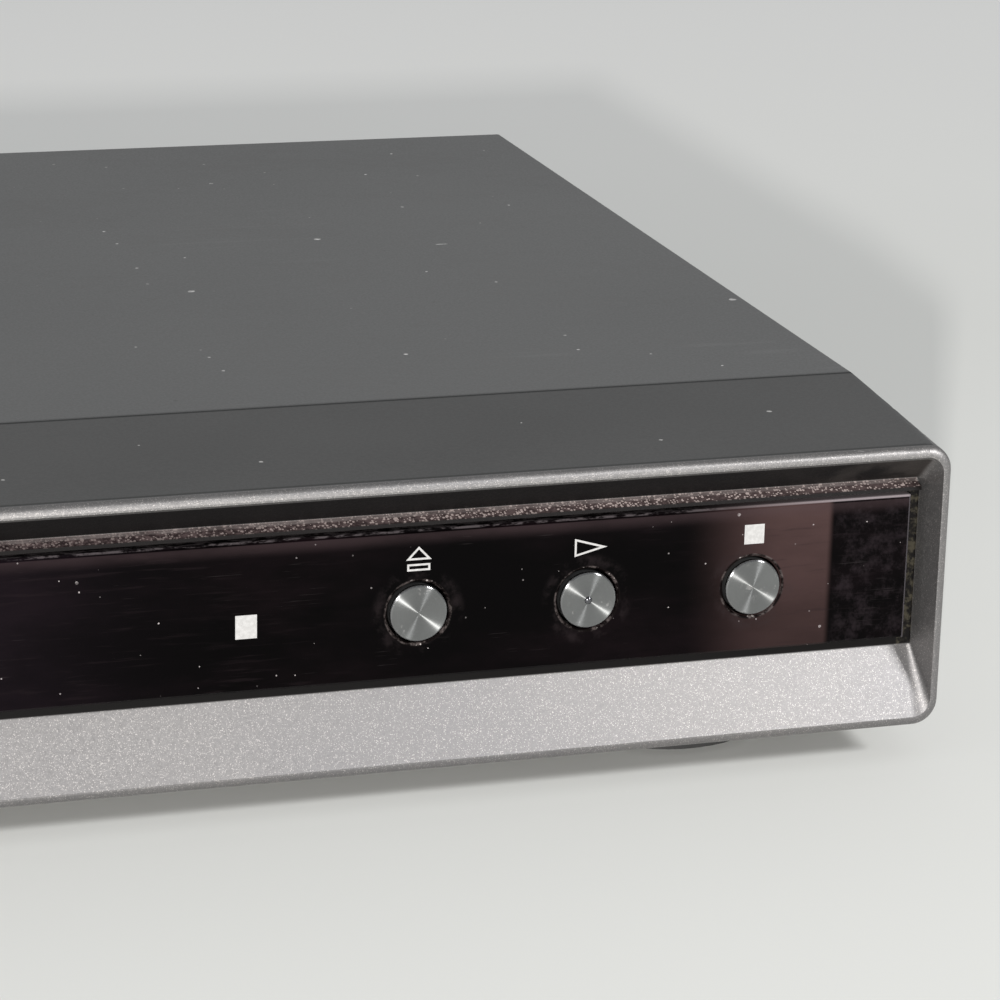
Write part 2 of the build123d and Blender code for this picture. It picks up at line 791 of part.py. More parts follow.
def make_tray_door():
    """The tray's front: a strip of the glossy window that closes the mouth."""
    with BuildPart() as door:
        with BuildSketch(front_plane(door_back_y)):
            with Locations((disc_x, (window_low_z + window_high_z) / 2)):
                Rectangle(2 * door_half_width, window_high_z - window_low_z)
        extrude(amount=door_thickness)
        chamfer(door.faces().sort_by(Axis.Y)[0].edges(), window_bevel)
    return door.part


# ================================================================ loader
ear_low_x = deck_left - pivot_ear_gap
ear_high_x = deck_right + pivot_ear_gap


bridge_screw_x = wall_inner - 2.0
bridge_screw_y = (tower_front_y + 5.0, tower_rear_y - 5.0)
bridge_screw_places = [(disc_x + side * bridge_screw_x, y) for side in (-1, 1) for y in bridge_screw_y]


def make_loader_frame():
    """The moulded loader frame: a base with the deck's well, side rails, towers, pins and pivot ears."""
    base_low_x, base_high_x = disc_x - wall_outer, disc_x + wall_outer
    well_front, well_rear = cam_y - 5.5, pivot_y + 8.0
    hook_low_x = cam_pin_x - cam_travel - 8
    hook_high_x = cam_pin_x + cam_travel + 4
    ring_outer = motor_radius + 1.7
    with BuildPart() as frame:
        with BuildSketch(Plane.XY.offset(plate_low_z)):
            with Locations((disc_x, (loader_front_y + loader_rear_y) / 2)):
                Rectangle(base_high_x - base_low_x, loader_rear_y - loader_front_y)
            with Locations(((ear_low_x + ear_high_x) / 2, (well_front + well_rear) / 2)):
                Rectangle(ear_high_x - ear_low_x, well_rear - well_front, mode=Mode.SUBTRACT)
            with Locations((motor_x, motor_y)):
                Circle(motor_radius + 0.2, mode=Mode.SUBTRACT)
        extrude(amount=plate_high_z - plate_low_z)
        # the side walls carry the rails below and the tabs above the tray's runners
        for side in (-1, 1):
            wall_x = sorted((disc_x + side * wall_inner, disc_x + side * wall_outer))
            rail_x = sorted((disc_x + side * (tray_half_width + 0.5), disc_x + side * wall_inner))
            tab_x = sorted((disc_x + side * (tray_half_width + guide_gap), disc_x + side * wall_inner))
            block((wall_x[0], loader_front_y, plate_high_z), (wall_x[1], loader_rear_y, wall_high_z))
            block((rail_x[0], loader_front_y, rail_high_z - 1.5), (rail_x[1], loader_rear_y, rail_high_z))
            for tab_y in (-88.0, -40.0, 8.0, 50.0):
                block(
                    (tab_x[0], tab_y - 5, flange_high_z + guide_gap),
                    (tab_x[1], tab_y + 5, wall_high_z),
                )
            block((wall_x[0], tower_front_y, wall_high_z), (wall_x[1], tower_rear_y, tower_high_z))
            seat_x = sorted((disc_x + side * (wall_inner - 6), disc_x + side * wall_inner))
            block((seat_x[0], tower_front_y, tower_high_z - 2), (seat_x[1], tower_rear_y, tower_high_z))
        # the deck's pivot ears at the back of the well
        for low_x in (ear_low_x - pivot_ear_thickness, ear_high_x):
            high_x = low_x + pivot_ear_thickness
            block((low_x, pivot_y - 4, plate_high_z), (high_x, pivot_y + 4, pivot_z))
            rod_along_x(pivot_y, pivot_z, low_x, high_x, 4.0)
            rod_along_x(pivot_y, pivot_z, low_x, high_x, pivot_pin_radius + running_gap, Mode.SUBTRACT)
        # the motor's cup, open below, and the gears' fixed pins
        post(motor_x, motor_y, plate_low_z, motor_high_z + 1.2, ring_outer)
        post(motor_x, motor_y, plate_low_z, motor_high_z, motor_radius + 0.2, Mode.SUBTRACT)
        post(motor_x, motor_y, plate_low_z, motor_high_z + 1.2, 3.0, Mode.SUBTRACT)
        post(loading_gear_x, loading_gear_y, plate_high_z, tray_low_z - 0.8, gear_pin_radius)
        post(loading_gear_x, loading_gear_y, plate_high_z, wheel_low_z - guide_gap, gear_pin_radius + 1.5)
        post(pulley_gear_x, pulley_gear_y, plate_high_z, pulley_high_z + 0.3, gear_pin_radius)
        post(pulley_gear_x, pulley_gear_y, plate_high_z, wheel_low_z - guide_gap, gear_pin_radius + 1.5)
        # the hooked guide that the cam slider runs under
        hook_y = cam_flange_front_y - guide_gap
        block((hook_low_x, hook_y - 1.7, plate_high_z), (hook_high_x, hook_y, hook_top_z))
        block((hook_low_x, hook_y, cam_flange_high_z + guide_gap), (hook_high_x, hook_y + 2, hook_top_z))
        for x, y in loader_posts:
            post(x, y, plate_low_z, plate_high_z, screw_radius, Mode.SUBTRACT)
        for x, y in bridge_screw_places:
            post(x, y, tower_high_z - 2, tower_high_z, screw_radius, Mode.SUBTRACT)
    return frame.part


def make_clamp_bridge():
    """The pressed-steel bridge over the tray, ribbed along its edges, with the clamper's hole."""
    half = wall_outer
    with BuildPart() as bridge:
        with BuildSketch(Plane.XY.offset(tower_high_z)):
            with Locations((disc_x, (tower_front_y + tower_rear_y) / 2)):
                RectangleRounded(2 * half, tower_rear_y - tower_front_y, 3)
            with Locations((disc_x, disc_y)):
                Circle(bridge_hole_radius, mode=Mode.SUBTRACT)
            for side in (-1, 1):
                with Locations((disc_x + side * 40, (tower_front_y + tower_rear_y) / 2)):
                    SlotOverall(26, 14, rotation=90, mode=Mode.SUBTRACT)
        extrude(amount=bridge_thickness)
        for y in (tower_front_y, tower_rear_y - bridge_thickness):
            top = tower_high_z + 4
            block((disc_x - half + 8, y, tower_high_z), (disc_x + half - 8, y + bridge_thickness, top))
        for x, y in bridge_screw_places:
            post(x, y, tower_high_z, tower_high_z + bridge_thickness, screw_radius, Mode.SUBTRACT)
    return bridge.part


def make_mechanism_screws():
    """Screws that hold the bridge on its towers and the loader on the chassis."""
    bridge_top = tower_high_z + bridge_thickness
    with BuildPart() as screws:
        for x, y in bridge_screw_places:
            post(x, y, bridge_top, bridge_top + 1.4, 2.6)
            post(x, y, tower_high_z - 3, bridge_top, screw_radius - running_gap)
        for x, y in loader_posts:
            post(x, y, plate_high_z, plate_high_z + 1.6, screw_head_radius)
            post(x, y, floor_z + 0.2, plate_high_z, screw_radius - running_gap)
    return screws.part


def make_loading_motor():
    """The loading motor: a flat can with a boss round its shaft."""
    with BuildPart() as motor:
        post(motor_x, motor_y, motor_low_z, motor_high_z, motor_radius)
        fillet(motor.edges().group_by(Axis.Z)[0], 1.2)
        post(motor_x, motor_y, motor_high_z, motor_high_z + 1.0, 2.6)
        post(motor_x, motor_y, motor_high_z, pulley_high_z + 0.4, motor_shaft_radius)
    return motor.part


def pulley_profile(radius, bore):
    """Half the section of a pulley with a square groove, as distances from its axis and heights."""
    floor = radius - pulley_groove
    return [
        (bore, pulley_low_z),
        (radius, pulley_low_z),
        (radius, pulley_low_z + pulley_rim),
        (floor, pulley_low_z + pulley_rim),
        (floor, pulley_high_z - pulley_rim),
        (radius, pulley_high_z - pulley_rim),
        (radius, pulley_high_z),
        (bore, pulley_high_z),
    ]


def make_motor_pulley():
    """The small grooved pulley on the motor's shaft."""
    with BuildPart() as pulley:
        with BuildSketch(Plane.XZ.offset(-motor_y)):
            with BuildLine():
                profile = pulley_profile(motor_pulley_radius, motor_shaft_radius + running_gap)
                Polyline(*[(motor_x + r, z) for r, z in profile], close=True)
            make_face()
        revolve(axis=Axis((motor_x, motor_y, 0), (0, 0, 1)))
    return pulley.part


def gear_layer(x, y, low_z, high_z, module, teeth, turn):
    """One spur gear of the active part."""
    with BuildSketch(Plane((x, y, low_z))) as layer:
        with BuildLine():
            Polyline(*gear_points(teeth, module, turn), close=True)
        make_face()
    extrude(layer.sketch, amount=high_z - low_z)


def make_pulley_gear():
    """The large grooved pulley with the small gear under it."""
    x, y = pulley_gear_x, pulley_gear_y
    bore = gear_pin_radius + running_gap
    with BuildPart() as gear:
        with BuildSketch(Plane.XZ.offset(-y)):
            with BuildLine():
                profile = pulley_profile(pulley_radius, bore)
                Polyline(*[(x + r, z) for r, z in profile], close=True)
            make_face()
        revolve(axis=Axis((x, y, 0), (0, 0, 1)))
        post(x, y, wheel_high_z, pulley_low_z, 4.5)
        gear_layer(x, y, wheel_low_z, wheel_high_z, gear_module, pulley_pinion_teeth, 0.0)
        post(x, y, wheel_low_z, pulley_high_z, bore, Mode.SUBTRACT)
        with BuildSketch(Plane.XY.offset(pulley_low_z)):
            with Locations((x, y)):
                with PolarLocations(7.0, 5):
                    Circle(1.9)
        extrude(amount=pulley_high_z - pulley_low_z, mode=Mode.SUBTRACT)
    return gear.part


def make_loading_gear():
    """The large wheel that the small gear drives, with the pinion that drives the tray's rack."""
    x, y = loading_gear_x, loading_gear_y
    with BuildPart() as gear:
        gear_layer(x, y, wheel_low_z, wheel_high_z, gear_module, wheel_teeth, pi + pi / wheel_teeth)
        post(x, y, wheel_high_z, rack_low_z - 0.4, 5.5)
        gear_layer(x, y, rack_low_z - 0.4, tray_low_z - 0.6, gear_module, pinion_teeth, pi / pinion_teeth)
        post(x, y, wheel_low_z, tray_low_z, gear_pin_radius + running_gap, Mode.SUBTRACT)
        with BuildSketch(Plane.XY.offset(wheel_low_z)):
            with Locations((x, y)):
                with PolarLocations(11.2, 6):
                    Circle(3.2)
        extrude(amount=wheel_high_z - wheel_low_z, mode=Mode.SUBTRACT)
    return gear.part


def make_drive_belt():
    """The square rubber belt round the two pulleys, drawn slack in their grooves."""
    slack = 0.3
    low_z = pulley_low_z + pulley_rim + slack
    high_z = pulley_high_z - pulley_rim - slack
    inner_small = motor_pulley_radius - pulley_groove + slack
    inner_large = pulley_radius - pulley_groove + slack
    small, large = (motor_x, motor_y), (pulley_gear_x, pulley_gear_y)
    with BuildPart() as belt:
        for extra, mode in ((belt_thickness, Mode.ADD), (0.0, Mode.SUBTRACT)):
            with BuildSketch(Plane.XY.offset(low_z)):
                with BuildLine():
                    CenterArc(small, inner_small + extra, 0, 360)
                    CenterArc(large, inner_large + extra, 0, 360)
                make_hull()
            extrude(amount=high_z - low_z, mode=mode)
    return belt.part


# ================================================================ pickup deck
tilt = radians(deck_angle)
cam_pin_low_z = pivot_z + (cam_y - pivot_y) * sin(tilt) + (cam_pin_z - pivot_z) * cos(tilt)
deck_opening = (-14.0, 50.0)
deck_bar_x = 24.5


def make_cam_slider():
    """The slider whose sloping slot lifts the front of the deck as it moves to the left.

    The slot runs on into the flange, which clears the end of the deck's pin.
    """
    low_x, high_x = cam_pin_x - 7, cam_pin_x + cam_travel + 7
    plate_rear_y = cam_y + cam_thickness / 2
    rise = cam_pin_z - cam_pin_low_z
    with BuildPart() as slider:
        flange_low = plate_high_z + guide_gap
        block((low_x, cam_flange_front_y, flange_low), (high_x, plate_rear_y, cam_flange_high_z))
        block((low_x, plate_rear_y - cam_thickness, cam_low_z), (high_x, plate_rear_y, cam_high_z))
        chamfer(slider.edges().filter_by(Axis.Y).group_by(Axis.Z)[-1], 2)
        post(high_x - 4, cam_flange_front_y + 4, cam_flange_high_z, tray_low_z - 0.5, 1.3)
        with BuildSketch(front_plane(plate_rear_y)):
            with Locations((cam_pin_x + cam_travel / 2, (cam_pin_low_z + cam_pin_z) / 2)):
                SlotCenterToCenter(
                    (cam_travel**2 + rise**2) ** 0.5,
                    2 * (cam_pin_radius + cam_slot_gap),
                    rotation=degrees(atan2(rise, cam_travel)),
                )
        extrude(amount=cam_thickness + cam_pin_reach + cam_slot_gap, mode=Mode.SUBTRACT)
    return slider.part


def make_traverse_frame():
    """The pickup's deck: a ribbed frame with the cam pin in front and two pivot pins at the back."""
    lug_front = deck_front_y - lug_depth
    lug_high = cam_pin_z + cam_pin_radius + 0.6
    pin_front = cam_y - cam_thickness / 2 - cam_pin_reach
    with BuildPart() as deck:
        with BuildSketch(Plane.XY.offset(deck_low_z)):
            with Locations(((deck_left + deck_right) / 2, (deck_front_y + deck_rear_y) / 2)):
                RectangleRounded(deck_right - deck_left, deck_rear_y - deck_front_y, 4)
            with Locations((disc_x, sum(deck_opening) / 2)):
                Rectangle(2 * deck_bar_x, deck_opening[1] - deck_opening[0], mode=Mode.SUBTRACT)
            with Locations((disc_x, (deck_opening[1] + deck_rear_y) / 2)):
                SlotOverall(30, 5, mode=Mode.SUBTRACT)
        extrude(amount=deck_high_z - deck_low_z)
        block((cam_pin_x - 4, lug_front, deck_low_z), (cam_pin_x + 4, deck_front_y + 1, lug_high))
        rod_along_y(cam_pin_x, cam_pin_z, pin_front, lug_front, cam_pin_radius)
        reach = pivot_ear_gap + pivot_ear_thickness
        rod_along_x(pivot_y, pivot_z, deck_left - reach, deck_left, pivot_pin_radius)
        rod_along_x(pivot_y, pivot_z, deck_right, deck_right + reach, pivot_pin_radius)
        for side in (-1, 1):
            x = disc_x + side * shaft_offset
            rod_along_y(x, shaft_z, shaft_front_y, shaft_rear_y, shaft_radius + 0.02, Mode.SUBTRACT)
        post(sled_gear_x, sled_gear_y, deck_high_z, sled_high_z - 0.1, sled_pin_radius)
        post(sled_gear_x, sled_motor_y, deck_low_z, deck_high_z, sled_boss_radius + 0.2, Mode.SUBTRACT)
        chamfer(deck.edges().filter_by(Axis.Z).group_by(Axis.Y)[0], 0.8)
    return lowered(deck.part)


def make_spindle_motor():
    """The spindle motor's fixed half: its plate, windings and bearing tube."""
    with BuildPart() as motor:
        block((disc_x - 15, disc_y - 15, deck_high_z), (disc_x + 15, disc_y + 15, spindle_plate_z))
        chamfer(motor.edges().filter_by(Axis.Z), 3)
        with BuildSketch(Plane.XY.offset(spindle_plate_z)):
            with Locations((disc_x, disc_y)):
                Circle(4.5)
                with PolarLocations(7.0, 9):
                    Rectangle(4.5, 1.6)
        extrude(amount=1.8)
        post(disc_x, disc_y, spindle_plate_z, spindle_tube_z, 2.5)
        post(disc_x, disc_y, spindle_plate_z, spindle_tube_z, spindle_radius + running_gap, Mode.SUBTRACT)
    return lowered(motor.part)


def make_turntable():
    """The motor's spinning bell with the turntable and its centring boss on top."""
    bell_low = spindle_plate_z + 0.4
    seat = deck_seat_z - turntable_pad_thickness
    plate_low = seat - turntable_thickness
    with BuildPart() as turntable:
        post(disc_x, disc_y, bell_low, bell_high_z, bell_radius)
        post(disc_x, disc_y, bell_low, bell_high_z - bell_wall, bell_radius - bell_wall, Mode.SUBTRACT)
        post(disc_x, disc_y, spindle_plate_z + 0.1, bell_high_z, spindle_radius)
        post(disc_x, disc_y, bell_high_z, plate_low, 9.0)
        post(disc_x, disc_y, plate_low, seat, turntable_radius)
        with BuildSketch(Plane.XY.offset(seat)):
            with Locations((disc_x, disc_y)):
                Circle(centring_radius)
        extrude(amount=deck_seat_z + centring_height - seat)
        chamfer(turntable.edges().filter_by(GeomType.CIRCLE).group_by(Axis.Z)[-1], 1.2)
    return lowered(turntable.part)


def make_turntable_pad():
    """The soft ring that the disc sits on."""
    low = deck_seat_z - turntable_pad_thickness
    with BuildPart() as pad:
        post(disc_x, disc_y, low, deck_seat_z, turntable_radius)
        post(disc_x, disc_y, low, deck_seat_z, centring_radius + 1.0, Mode.SUBTRACT)
    return lowered(pad.part)


def make_guide_shafts():
    """The two ground shafts that the pickup slides on."""
    with BuildPart() as shafts:
        for side in (-1, 1):
            rod_along_y(disc_x + side * shaft_offset, shaft_z, shaft_front_y, shaft_rear_y, shaft_radius)
    return lowered(shafts.part)


def make_sled_motor():
    """The small motor under the deck that drives the pickup."""
    with BuildPart() as motor:
        post(sled_gear_x, sled_motor_y, deck_low_z - sled_motor_height, deck_low_z, sled_motor_radius)
        fillet(motor.edges().group_by(Axis.Z)[0], 0.6)
        post(sled_gear_x, sled_motor_y, deck_low_z, deck_high_z, sled_boss_radius)
        post(sled_gear_x, sled_motor_y, deck_high_z, sled_high_z, sled_shaft_radius)
    return lowered(motor.part)


def make_sled_pinion():
    """The brass pinion on the small motor's shaft."""
    x, y = sled_gear_x, sled_motor_y
    with BuildPart() as pinion:
        post(x, y, deck_high_z + guide_gap, sled_mid_z, 2.2)
        gear_layer(x, y, sled_mid_z, sled_high_z - 0.1, sled_module, sled_motor_teeth, -pi / 2)
        post(x, y, deck_high_z, sled_high_z, sled_shaft_radius + running_gap, Mode.SUBTRACT)
    return lowered(pinion.part)


def make_sled_gear():
    """The stepped gear between the pinion and the pickup's rack."""
    x, y = sled_gear_x, sled_gear_y
    with BuildPart() as gear:
        rack_turn = pi + pi / sled_pinion_teeth
        motor_turn = pi / 2 + pi / sled_wheel_teeth
        gear_layer(x, y, sled_low_z, sled_mid_z, sled_module, sled_pinion_teeth, rack_turn)
        gear_layer(x, y, sled_mid_z, sled_high_z, sled_module, sled_wheel_teeth, motor_turn)
        post(x, y, sled_low_z, sled_high_z, sled_pin_radius + running_gap, Mode.SUBTRACT)
        with BuildSketch(Plane.XY.offset(sled_mid_z)):
            with Locations((x, y)):
                with PolarLocations(8.6, 5):
                    Circle(1.7)
        extrude(amount=sled_high_z - sled_mid_z, mode=Mode.SUBTRACT)
    return lowered(gear.part)


def make_pickup_body():
    """The laser pickup: a cast body on bushes, the lens housing, and the rack along its side."""
    rear_y_limit = pickup_front_y + pickup_length
    top_z_limit = sled_mid_z - guide_gap
    with BuildPart() as pickup:
        with BuildSketch(Plane.XY.offset(pickup_low_z)):
            with Locations((disc_x, pickup_front_y + pickup_length / 2)):
                RectangleRounded(30, pickup_length, 3)
        extrude(amount=top_z_limit - pickup_low_z)
        for side in (-1, 1):
            x = disc_x + side * shaft_offset
            rod_along_y(x, shaft_z, pickup_front_y, rear_y_limit, pickup_bush_radius)
            web_x = sorted((disc_x + side * 12, disc_x + side * (shaft_offset + 2)))
            block((web_x[0], pickup_front_y, shaft_z), (web_x[1], rear_y_limit, top_z_limit))
        housing_front = pickup_front_y + 0.5
        block((disc_x - 12, housing_front, top_z_limit), (disc_x + 12, housing_front + 18.5, lens_seat_z))
        fillet(pickup.edges().group_by(Axis.Z)[-1], 0.8)
        post(disc_x, lens_y, lens_seat_z - lens_well_depth, lens_seat_z, 4.6, Mode.SUBTRACT)
        # the rack, with its teeth to the right
        with BuildSketch(Plane.XY.offset(sled_low_z)):
            with BuildLine():
                rack_front = sled_gear_y - pickup_travel - 3
                points = rack_points(rack_front, sled_gear_y + 3, sled_module, sled_gear_y)
                Polyline(*[(sled_rack_x - x, y) for x, y in points], close=True)
            make_face()
            with Locations((sled_rack_x - 3, (rack_front + sled_gear_y + 3) / 2)):
                Rectangle(3.2, sled_gear_y + 3 - rack_front)
        extrude(amount=top_z_limit - sled_low_z)
        for side in (-1, 1):
            x = disc_x + side * shaft_offset
            rod_along_y(x, shaft_z, pickup_front_y, rear_y_limit, shaft_radius + running_gap, Mode.SUBTRACT)
    return lowered(pickup.part)


def make_pickup_lens():
    """The lens in its round holder, seated in the housing's well."""
    rim, crown = lens_seat_z + 0.3, lens_seat_z + 1.0
    with BuildPart() as lens:
        post(disc_x, lens_y, lens_seat_z - lens_well_depth, rim, 3.4)
        post(disc_x, lens_y, rim, crown, 2.2)
        fillet(lens.edges().group_by(Axis.Z)[-1], 0.6)
    return lowered(lens.part)


# ================================================================ clamper
clamp_flange_low_z = tower_high_z + bridge_thickness + clamp_gap
clamp_flange_high_z = clamp_flange_low_z + 1.2


def make_clamper():
    """The clamper: a dished disc under the bridge, hung through its hole by a flange."""
    pocket = 1.6
    with BuildPart() as clamper:
        with BuildSketch(Plane.XZ.offset(-disc_y)):
            with BuildLine():
                Polyline(
                    (disc_x, clamp_low_z + pocket),
                    (disc_x + centring_radius + 0.8, clamp_low_z + pocket),
                    (disc_x + centring_radius + 1.4, clamp_low_z),
                    (disc_x + clamp_radius, clamp_low_z),
                    (disc_x + clamp_radius, clamp_low_z + 1.0),
                    (disc_x + clamp_radius - 2.5, clamp_high_z),
                    (disc_x + clamp_neck_radius, clamp_high_z),
                    (disc_x + clamp_neck_radius, clamp_flange_low_z),
                    (disc_x + clamp_flange_radius, clamp_flange_low_z),
                    (disc_x + clamp_flange_radius, clamp_flange_high_z),
                    (disc_x, clamp_flange_high_z),
                    close=True,
                )
            make_face()
        revolve(axis=Axis((disc_x, disc_y, 0), (0, 0, 1)))
    return clamper.part


def make_clamper_magnet():
    """The ring magnet on the clamper, which the turntable's boss draws down."""
    with BuildPart() as magnet:
        post(disc_x, disc_y, clamp_flange_high_z, clamp_flange_high_z + 2.5, magnet_radius)
        post(disc_x, disc_y, clamp_flange_high_z, clamp_flange_high_z + 2.5, 3.0, Mode.SUBTRACT)
        chamfer(magnet.edges().group_by(Axis.Z)[-1], 0.3)
    return magnet.part


# ================================================================ circuit boards
def make_flat_board(span_x, span_y, screws):
    """A flat circuit board on the chassis's posts."""
    with BuildPart() as board:
        block((span_x[0], span_y[0], board_z), (span_x[1], span_y[1], board_top_z))
        for x, y in screws:
            if span_x[0] < x < span_x[1]:
                post(x, y, board_z, board_top_z, screw_radius, Mode.SUBTRACT)
        chamfer(board.edges().filter_by(Axis.Z).group_by(Axis.Y)[0], 1.5)
    return board.part


def make_main_board_chips():
    """The processor, memories, drivers and connectors on the main board."""
    with BuildPart() as chips:
        for x, y, length, depth, height in main_chips:
            low = (x - length / 2, y - depth / 2, board_top_z)
            block(low, (x + length / 2, y + depth / 2, board_top_z + height))
    return chips.part


def make_cans(places):
    """Upright capacitors: round cans with rolled tops."""
    with BuildPart() as cans:
        for x, y, radius, height in places:
            post(x, y, board_top_z, board_top_z + height, radius)
        tops = cans.edges().filter_by(GeomType.CIRCLE).filter_by(lambda e: e.center().Z > board_top_z + 1)
        fillet(tops, 0.5)
    return cans.part


def make_heat_sink(x, y, low_z):
    """An extruded heat sink: a base with upright fins."""
    half = sink_side / 2
    fin_low = low_z + sink_base
    with BuildPart() as sink:
        block((x - half, y - half, low_z), (x + half, y + half, fin_low))
        with BuildSketch(Plane.XY.offset(fin_low)):
            with Locations((x, y)):
                with GridLocations(sink_side / sink_fins, 1, sink_fins, 1):
                    Rectangle(1.2, sink_side)
        extrude(amount=sink_height - sink_base, taper=0.5)
    return sink.part


def make_power_transformer():
    """The switching transformer: an E-core round its bobbin and winding."""
    x, y = transformer_place
    low = board_top_z
    with BuildPart() as transformer:
        block((x - 15, y - 5, low + 1.5), (x + 15, y + 5, low + 22))
        block((x - 9, y - 11, low), (x + 9, y + 11, low + 2.5))
        with BuildSketch(Plane.XY.offset(low + 2.5)):
            with Locations((x, y)):
                RectangleRounded(19, 21, 5)
        extrude(amount=16)
        block((x - 9, y - 11, low + 18.5), (x + 9, y + 11, low + 20))
        chamfer(transformer.edges().filter_by(Axis.Y).group_by(Axis.Z)[-1], 0.8)
    return transformer.part


def make_power_heat_sink():
    """The bent aluminium heat sink on the power board, with its switching device clamped on."""
    x, y = power_sink_place
    with BuildPart() as sink:
        block((x - 1, y - 16, board_top_z), (x + 1, y + 16, board_top_z + 22))
        block((x - 1, y - 16, board_top_z + 20), (x + 9, y + 16, board_top_z + 22))
        with BuildSketch(Plane.YZ.offset(x - 1)):
            with Locations((y, board_top_z + 10)):
                with GridLocations(8, 1, 4, 1):
                    SlotOverall(12, 2.5, rotation=90)
        extrude(amount=2, mode=Mode.SUBTRACT)
        block((x + 1, y - 5, board_top_z + 4), (x + 5.5, y + 5, board_top_z + 19))
    return sink.part


# ================================================================ sockets
def make_av_jack_block():
    """The moulded block that carries the row of round sockets behind the back."""
    low_x, high_x = sockets_x[0] - 7.5, sockets_x[-1] + 7.5
    with BuildPart() as jacks:
        block((low_x, back_sheet_y - 12, board_top_z), (high_x, back_sheet_y, jack_z + 8))
        for x in sockets_x[:-1]:
            low = (x + jack_pitch / 2 - 0.5, back_sheet_y - 9, jack_z + 2)
            block(low, (x + jack_pitch / 2 + 0.5, back_sheet_y, jack_z + 8), Mode.SUBTRACT)
        for x in sockets_x:
            rod_along_y(x, jack_z, back_sheet_y, rear_y + 1.2, jack_radius - jack_wall - running_gap)
            rod_along_y(x, jack_z, back_sheet_y - 8, rear_y + 1.2, 1.7, Mode.SUBTRACT)
    return jacks.part


def make_av_jack_barrels():
    """The round metal barrels of the sockets, which a plug's collar slides over, necked in the back."""
    with BuildPart() as barrels:
        for low_y, high_y, radius in (
            (back_sheet_y, rear_y, jack_radius - jack_neck),
            (rear_y, rear_y + jack_projection, jack_radius),
        ):
            with BuildSketch(front_plane(low_y)):
                with Locations(*[(x, jack_z) for x in sockets_x]):
                    Circle(radius)
                    Circle(jack_radius - jack_wall, mode=Mode.SUBTRACT)
            extrude(amount=low_y - high_y)
    return barrels.part


def make_s_video_jack():
    """The small round multi-pin socket with its metal shield."""
    with BuildPart() as jack:
        block((s_video_x - 7, back_sheet_y - 11, board_top_z), (s_video_x + 7, back_sheet_y, jack_z + 7))
        rod_along_y(s_video_x, jack_z, back_sheet_y, rear_y + 0.6, s_video_radius)
        rod_along_y(s_video_x, jack_z, rear_y - 5, rear_y + 0.6, s_video_radius - 0.7, Mode.SUBTRACT)
        with BuildSketch(front_plane(rear_y - 5)):
            with Locations((s_video_x, jack_z)):
                with PolarLocations(2.4, 4, 45):
                    Circle(0.5)
        extrude(amount=-4)
    return jack.part


def make_power_inlet():
    """The two-pin inlet: a shrouded figure-of-eight with its pins, on the power board."""
    body_front = back_sheet_y - 15
    with BuildPart() as inlet:
        block((inlet_x - 11, body_front, board_top_z), (inlet_x + 11, back_sheet_y, inlet_z + 7))
        with BuildSketch(front_plane(back_sheet_y)):
            with Locations((inlet_x, inlet_z)):
                SlotOverall(inlet_length, inlet_height)
        extrude(amount=-(rear_y + 0.8 - back_sheet_y))
        with BuildSketch(front_plane(rear_y + 0.8)):
            with Locations((inlet_x, inlet_z)):
                SlotOverall(inlet_length - 2 * inlet_wall, inlet_height - 2 * inlet_wall)
        extrude(amount=12, mode=Mode.SUBTRACT)
        for side in (-1, 1):
            rod_along_y(inlet_x + side * 4.3, inlet_z, rear_y - 11.5, rear_y - 2, 1.2)
    return inlet.part


def make_ribbon_cable():
    """The flat cable from the main board up to the front board."""
    low_y, high_y = board_back_y, main_board_y[0] + 6
    clear = 0.3
    with BuildPart() as ribbon:
        with BuildSketch(Plane.YZ.offset(ribbon_x - ribbon_width / 2)):
            with BuildLine():
                path = FilletPolyline(
                    (low_y + clear, 17.0),
                    (low_y + 6, 17.0),
                    (low_y + 14, 28.0),
                    (high_y, 28.0),
                    (high_y, board_top_z + 6.0),
                    radius=3.0,
                )
                offset(path, amount=ribbon_thickness / 2, side=Side.BOTH)
            make_face()
        extrude(amount=ribbon_width)
        block(
            (ribbon_x - ribbon_width / 2 - 2, high_y - 2.5, board_top_z),
            (ribbon_x + ribbon_width / 2 + 2, high_y + 2.5, board_top_z + 6),
        )
        block(
            (ribbon_x - ribbon_width / 2 - 2, low_y, 15.0),
            (ribbon_x + ribbon_width / 2 + 2, low_y + 4, 19.0),
        )
    return ribbon.part


# ================================================================ every piece, written to its file
os.makedirs("parts", exist_ok=True)
save(make_top_cover(), "top_cover")
save(make_chassis(), "chassis")
save(make_rear_panel(), "rear_panel")
save(make_front_panel(), "front_panel")
window_end_x = width / 2 - floor_side - window_edge
save(make_window(-window_end_x, door_low_x - window_gap, [button_x["power"]]), "window_left")
right_bores = [button_x[name] for name in ("eject", "play", "stop")]
save(make_window(door_high_x + window_gap, window_end_x, right_bores), "window_right")
save(make_feet(), "feet")
save(make_foot_pads(), "foot_pads")
save(make_case_screws(), "case_screws")
save(make_board(front_board_span, front_bosses), "front_board")
save(make_board(switch_board_span, switch_bosses), "power_switch_board")
save(make_button_switches(), "button_switches")
save(make_display_tube(), "display_tube")
save(make_ir_receiver(), "ir_receiver")
for name, x in button_x.items():
    save(make_button(x), f"{name}_button")
    save(make_button_cap(x), f"{name}_button_cap")
save(make_tray(), "tray")
save(make_tray_door(), "tray_door")
save(make_loader_frame(), "loader_frame")
save(make_clamp_bridge(), "clamp_bridge")
save(make_mechanism_screws(), "mechanism_screws")
save(make_loading_motor(), "loading_motor")
save(make_motor_pulley(), "motor_pulley")
save(make_pulley_gear(), "pulley_gear")
save(make_loading_gear(), "loading_gear")
save(make_drive_belt(), "drive_belt")
save(make_cam_slider(), "cam_slider")
save(make_traverse_frame(), "traverse_frame")
save(make_spindle_motor(), "spindle_motor")
save(make_turntable(), "turntable")
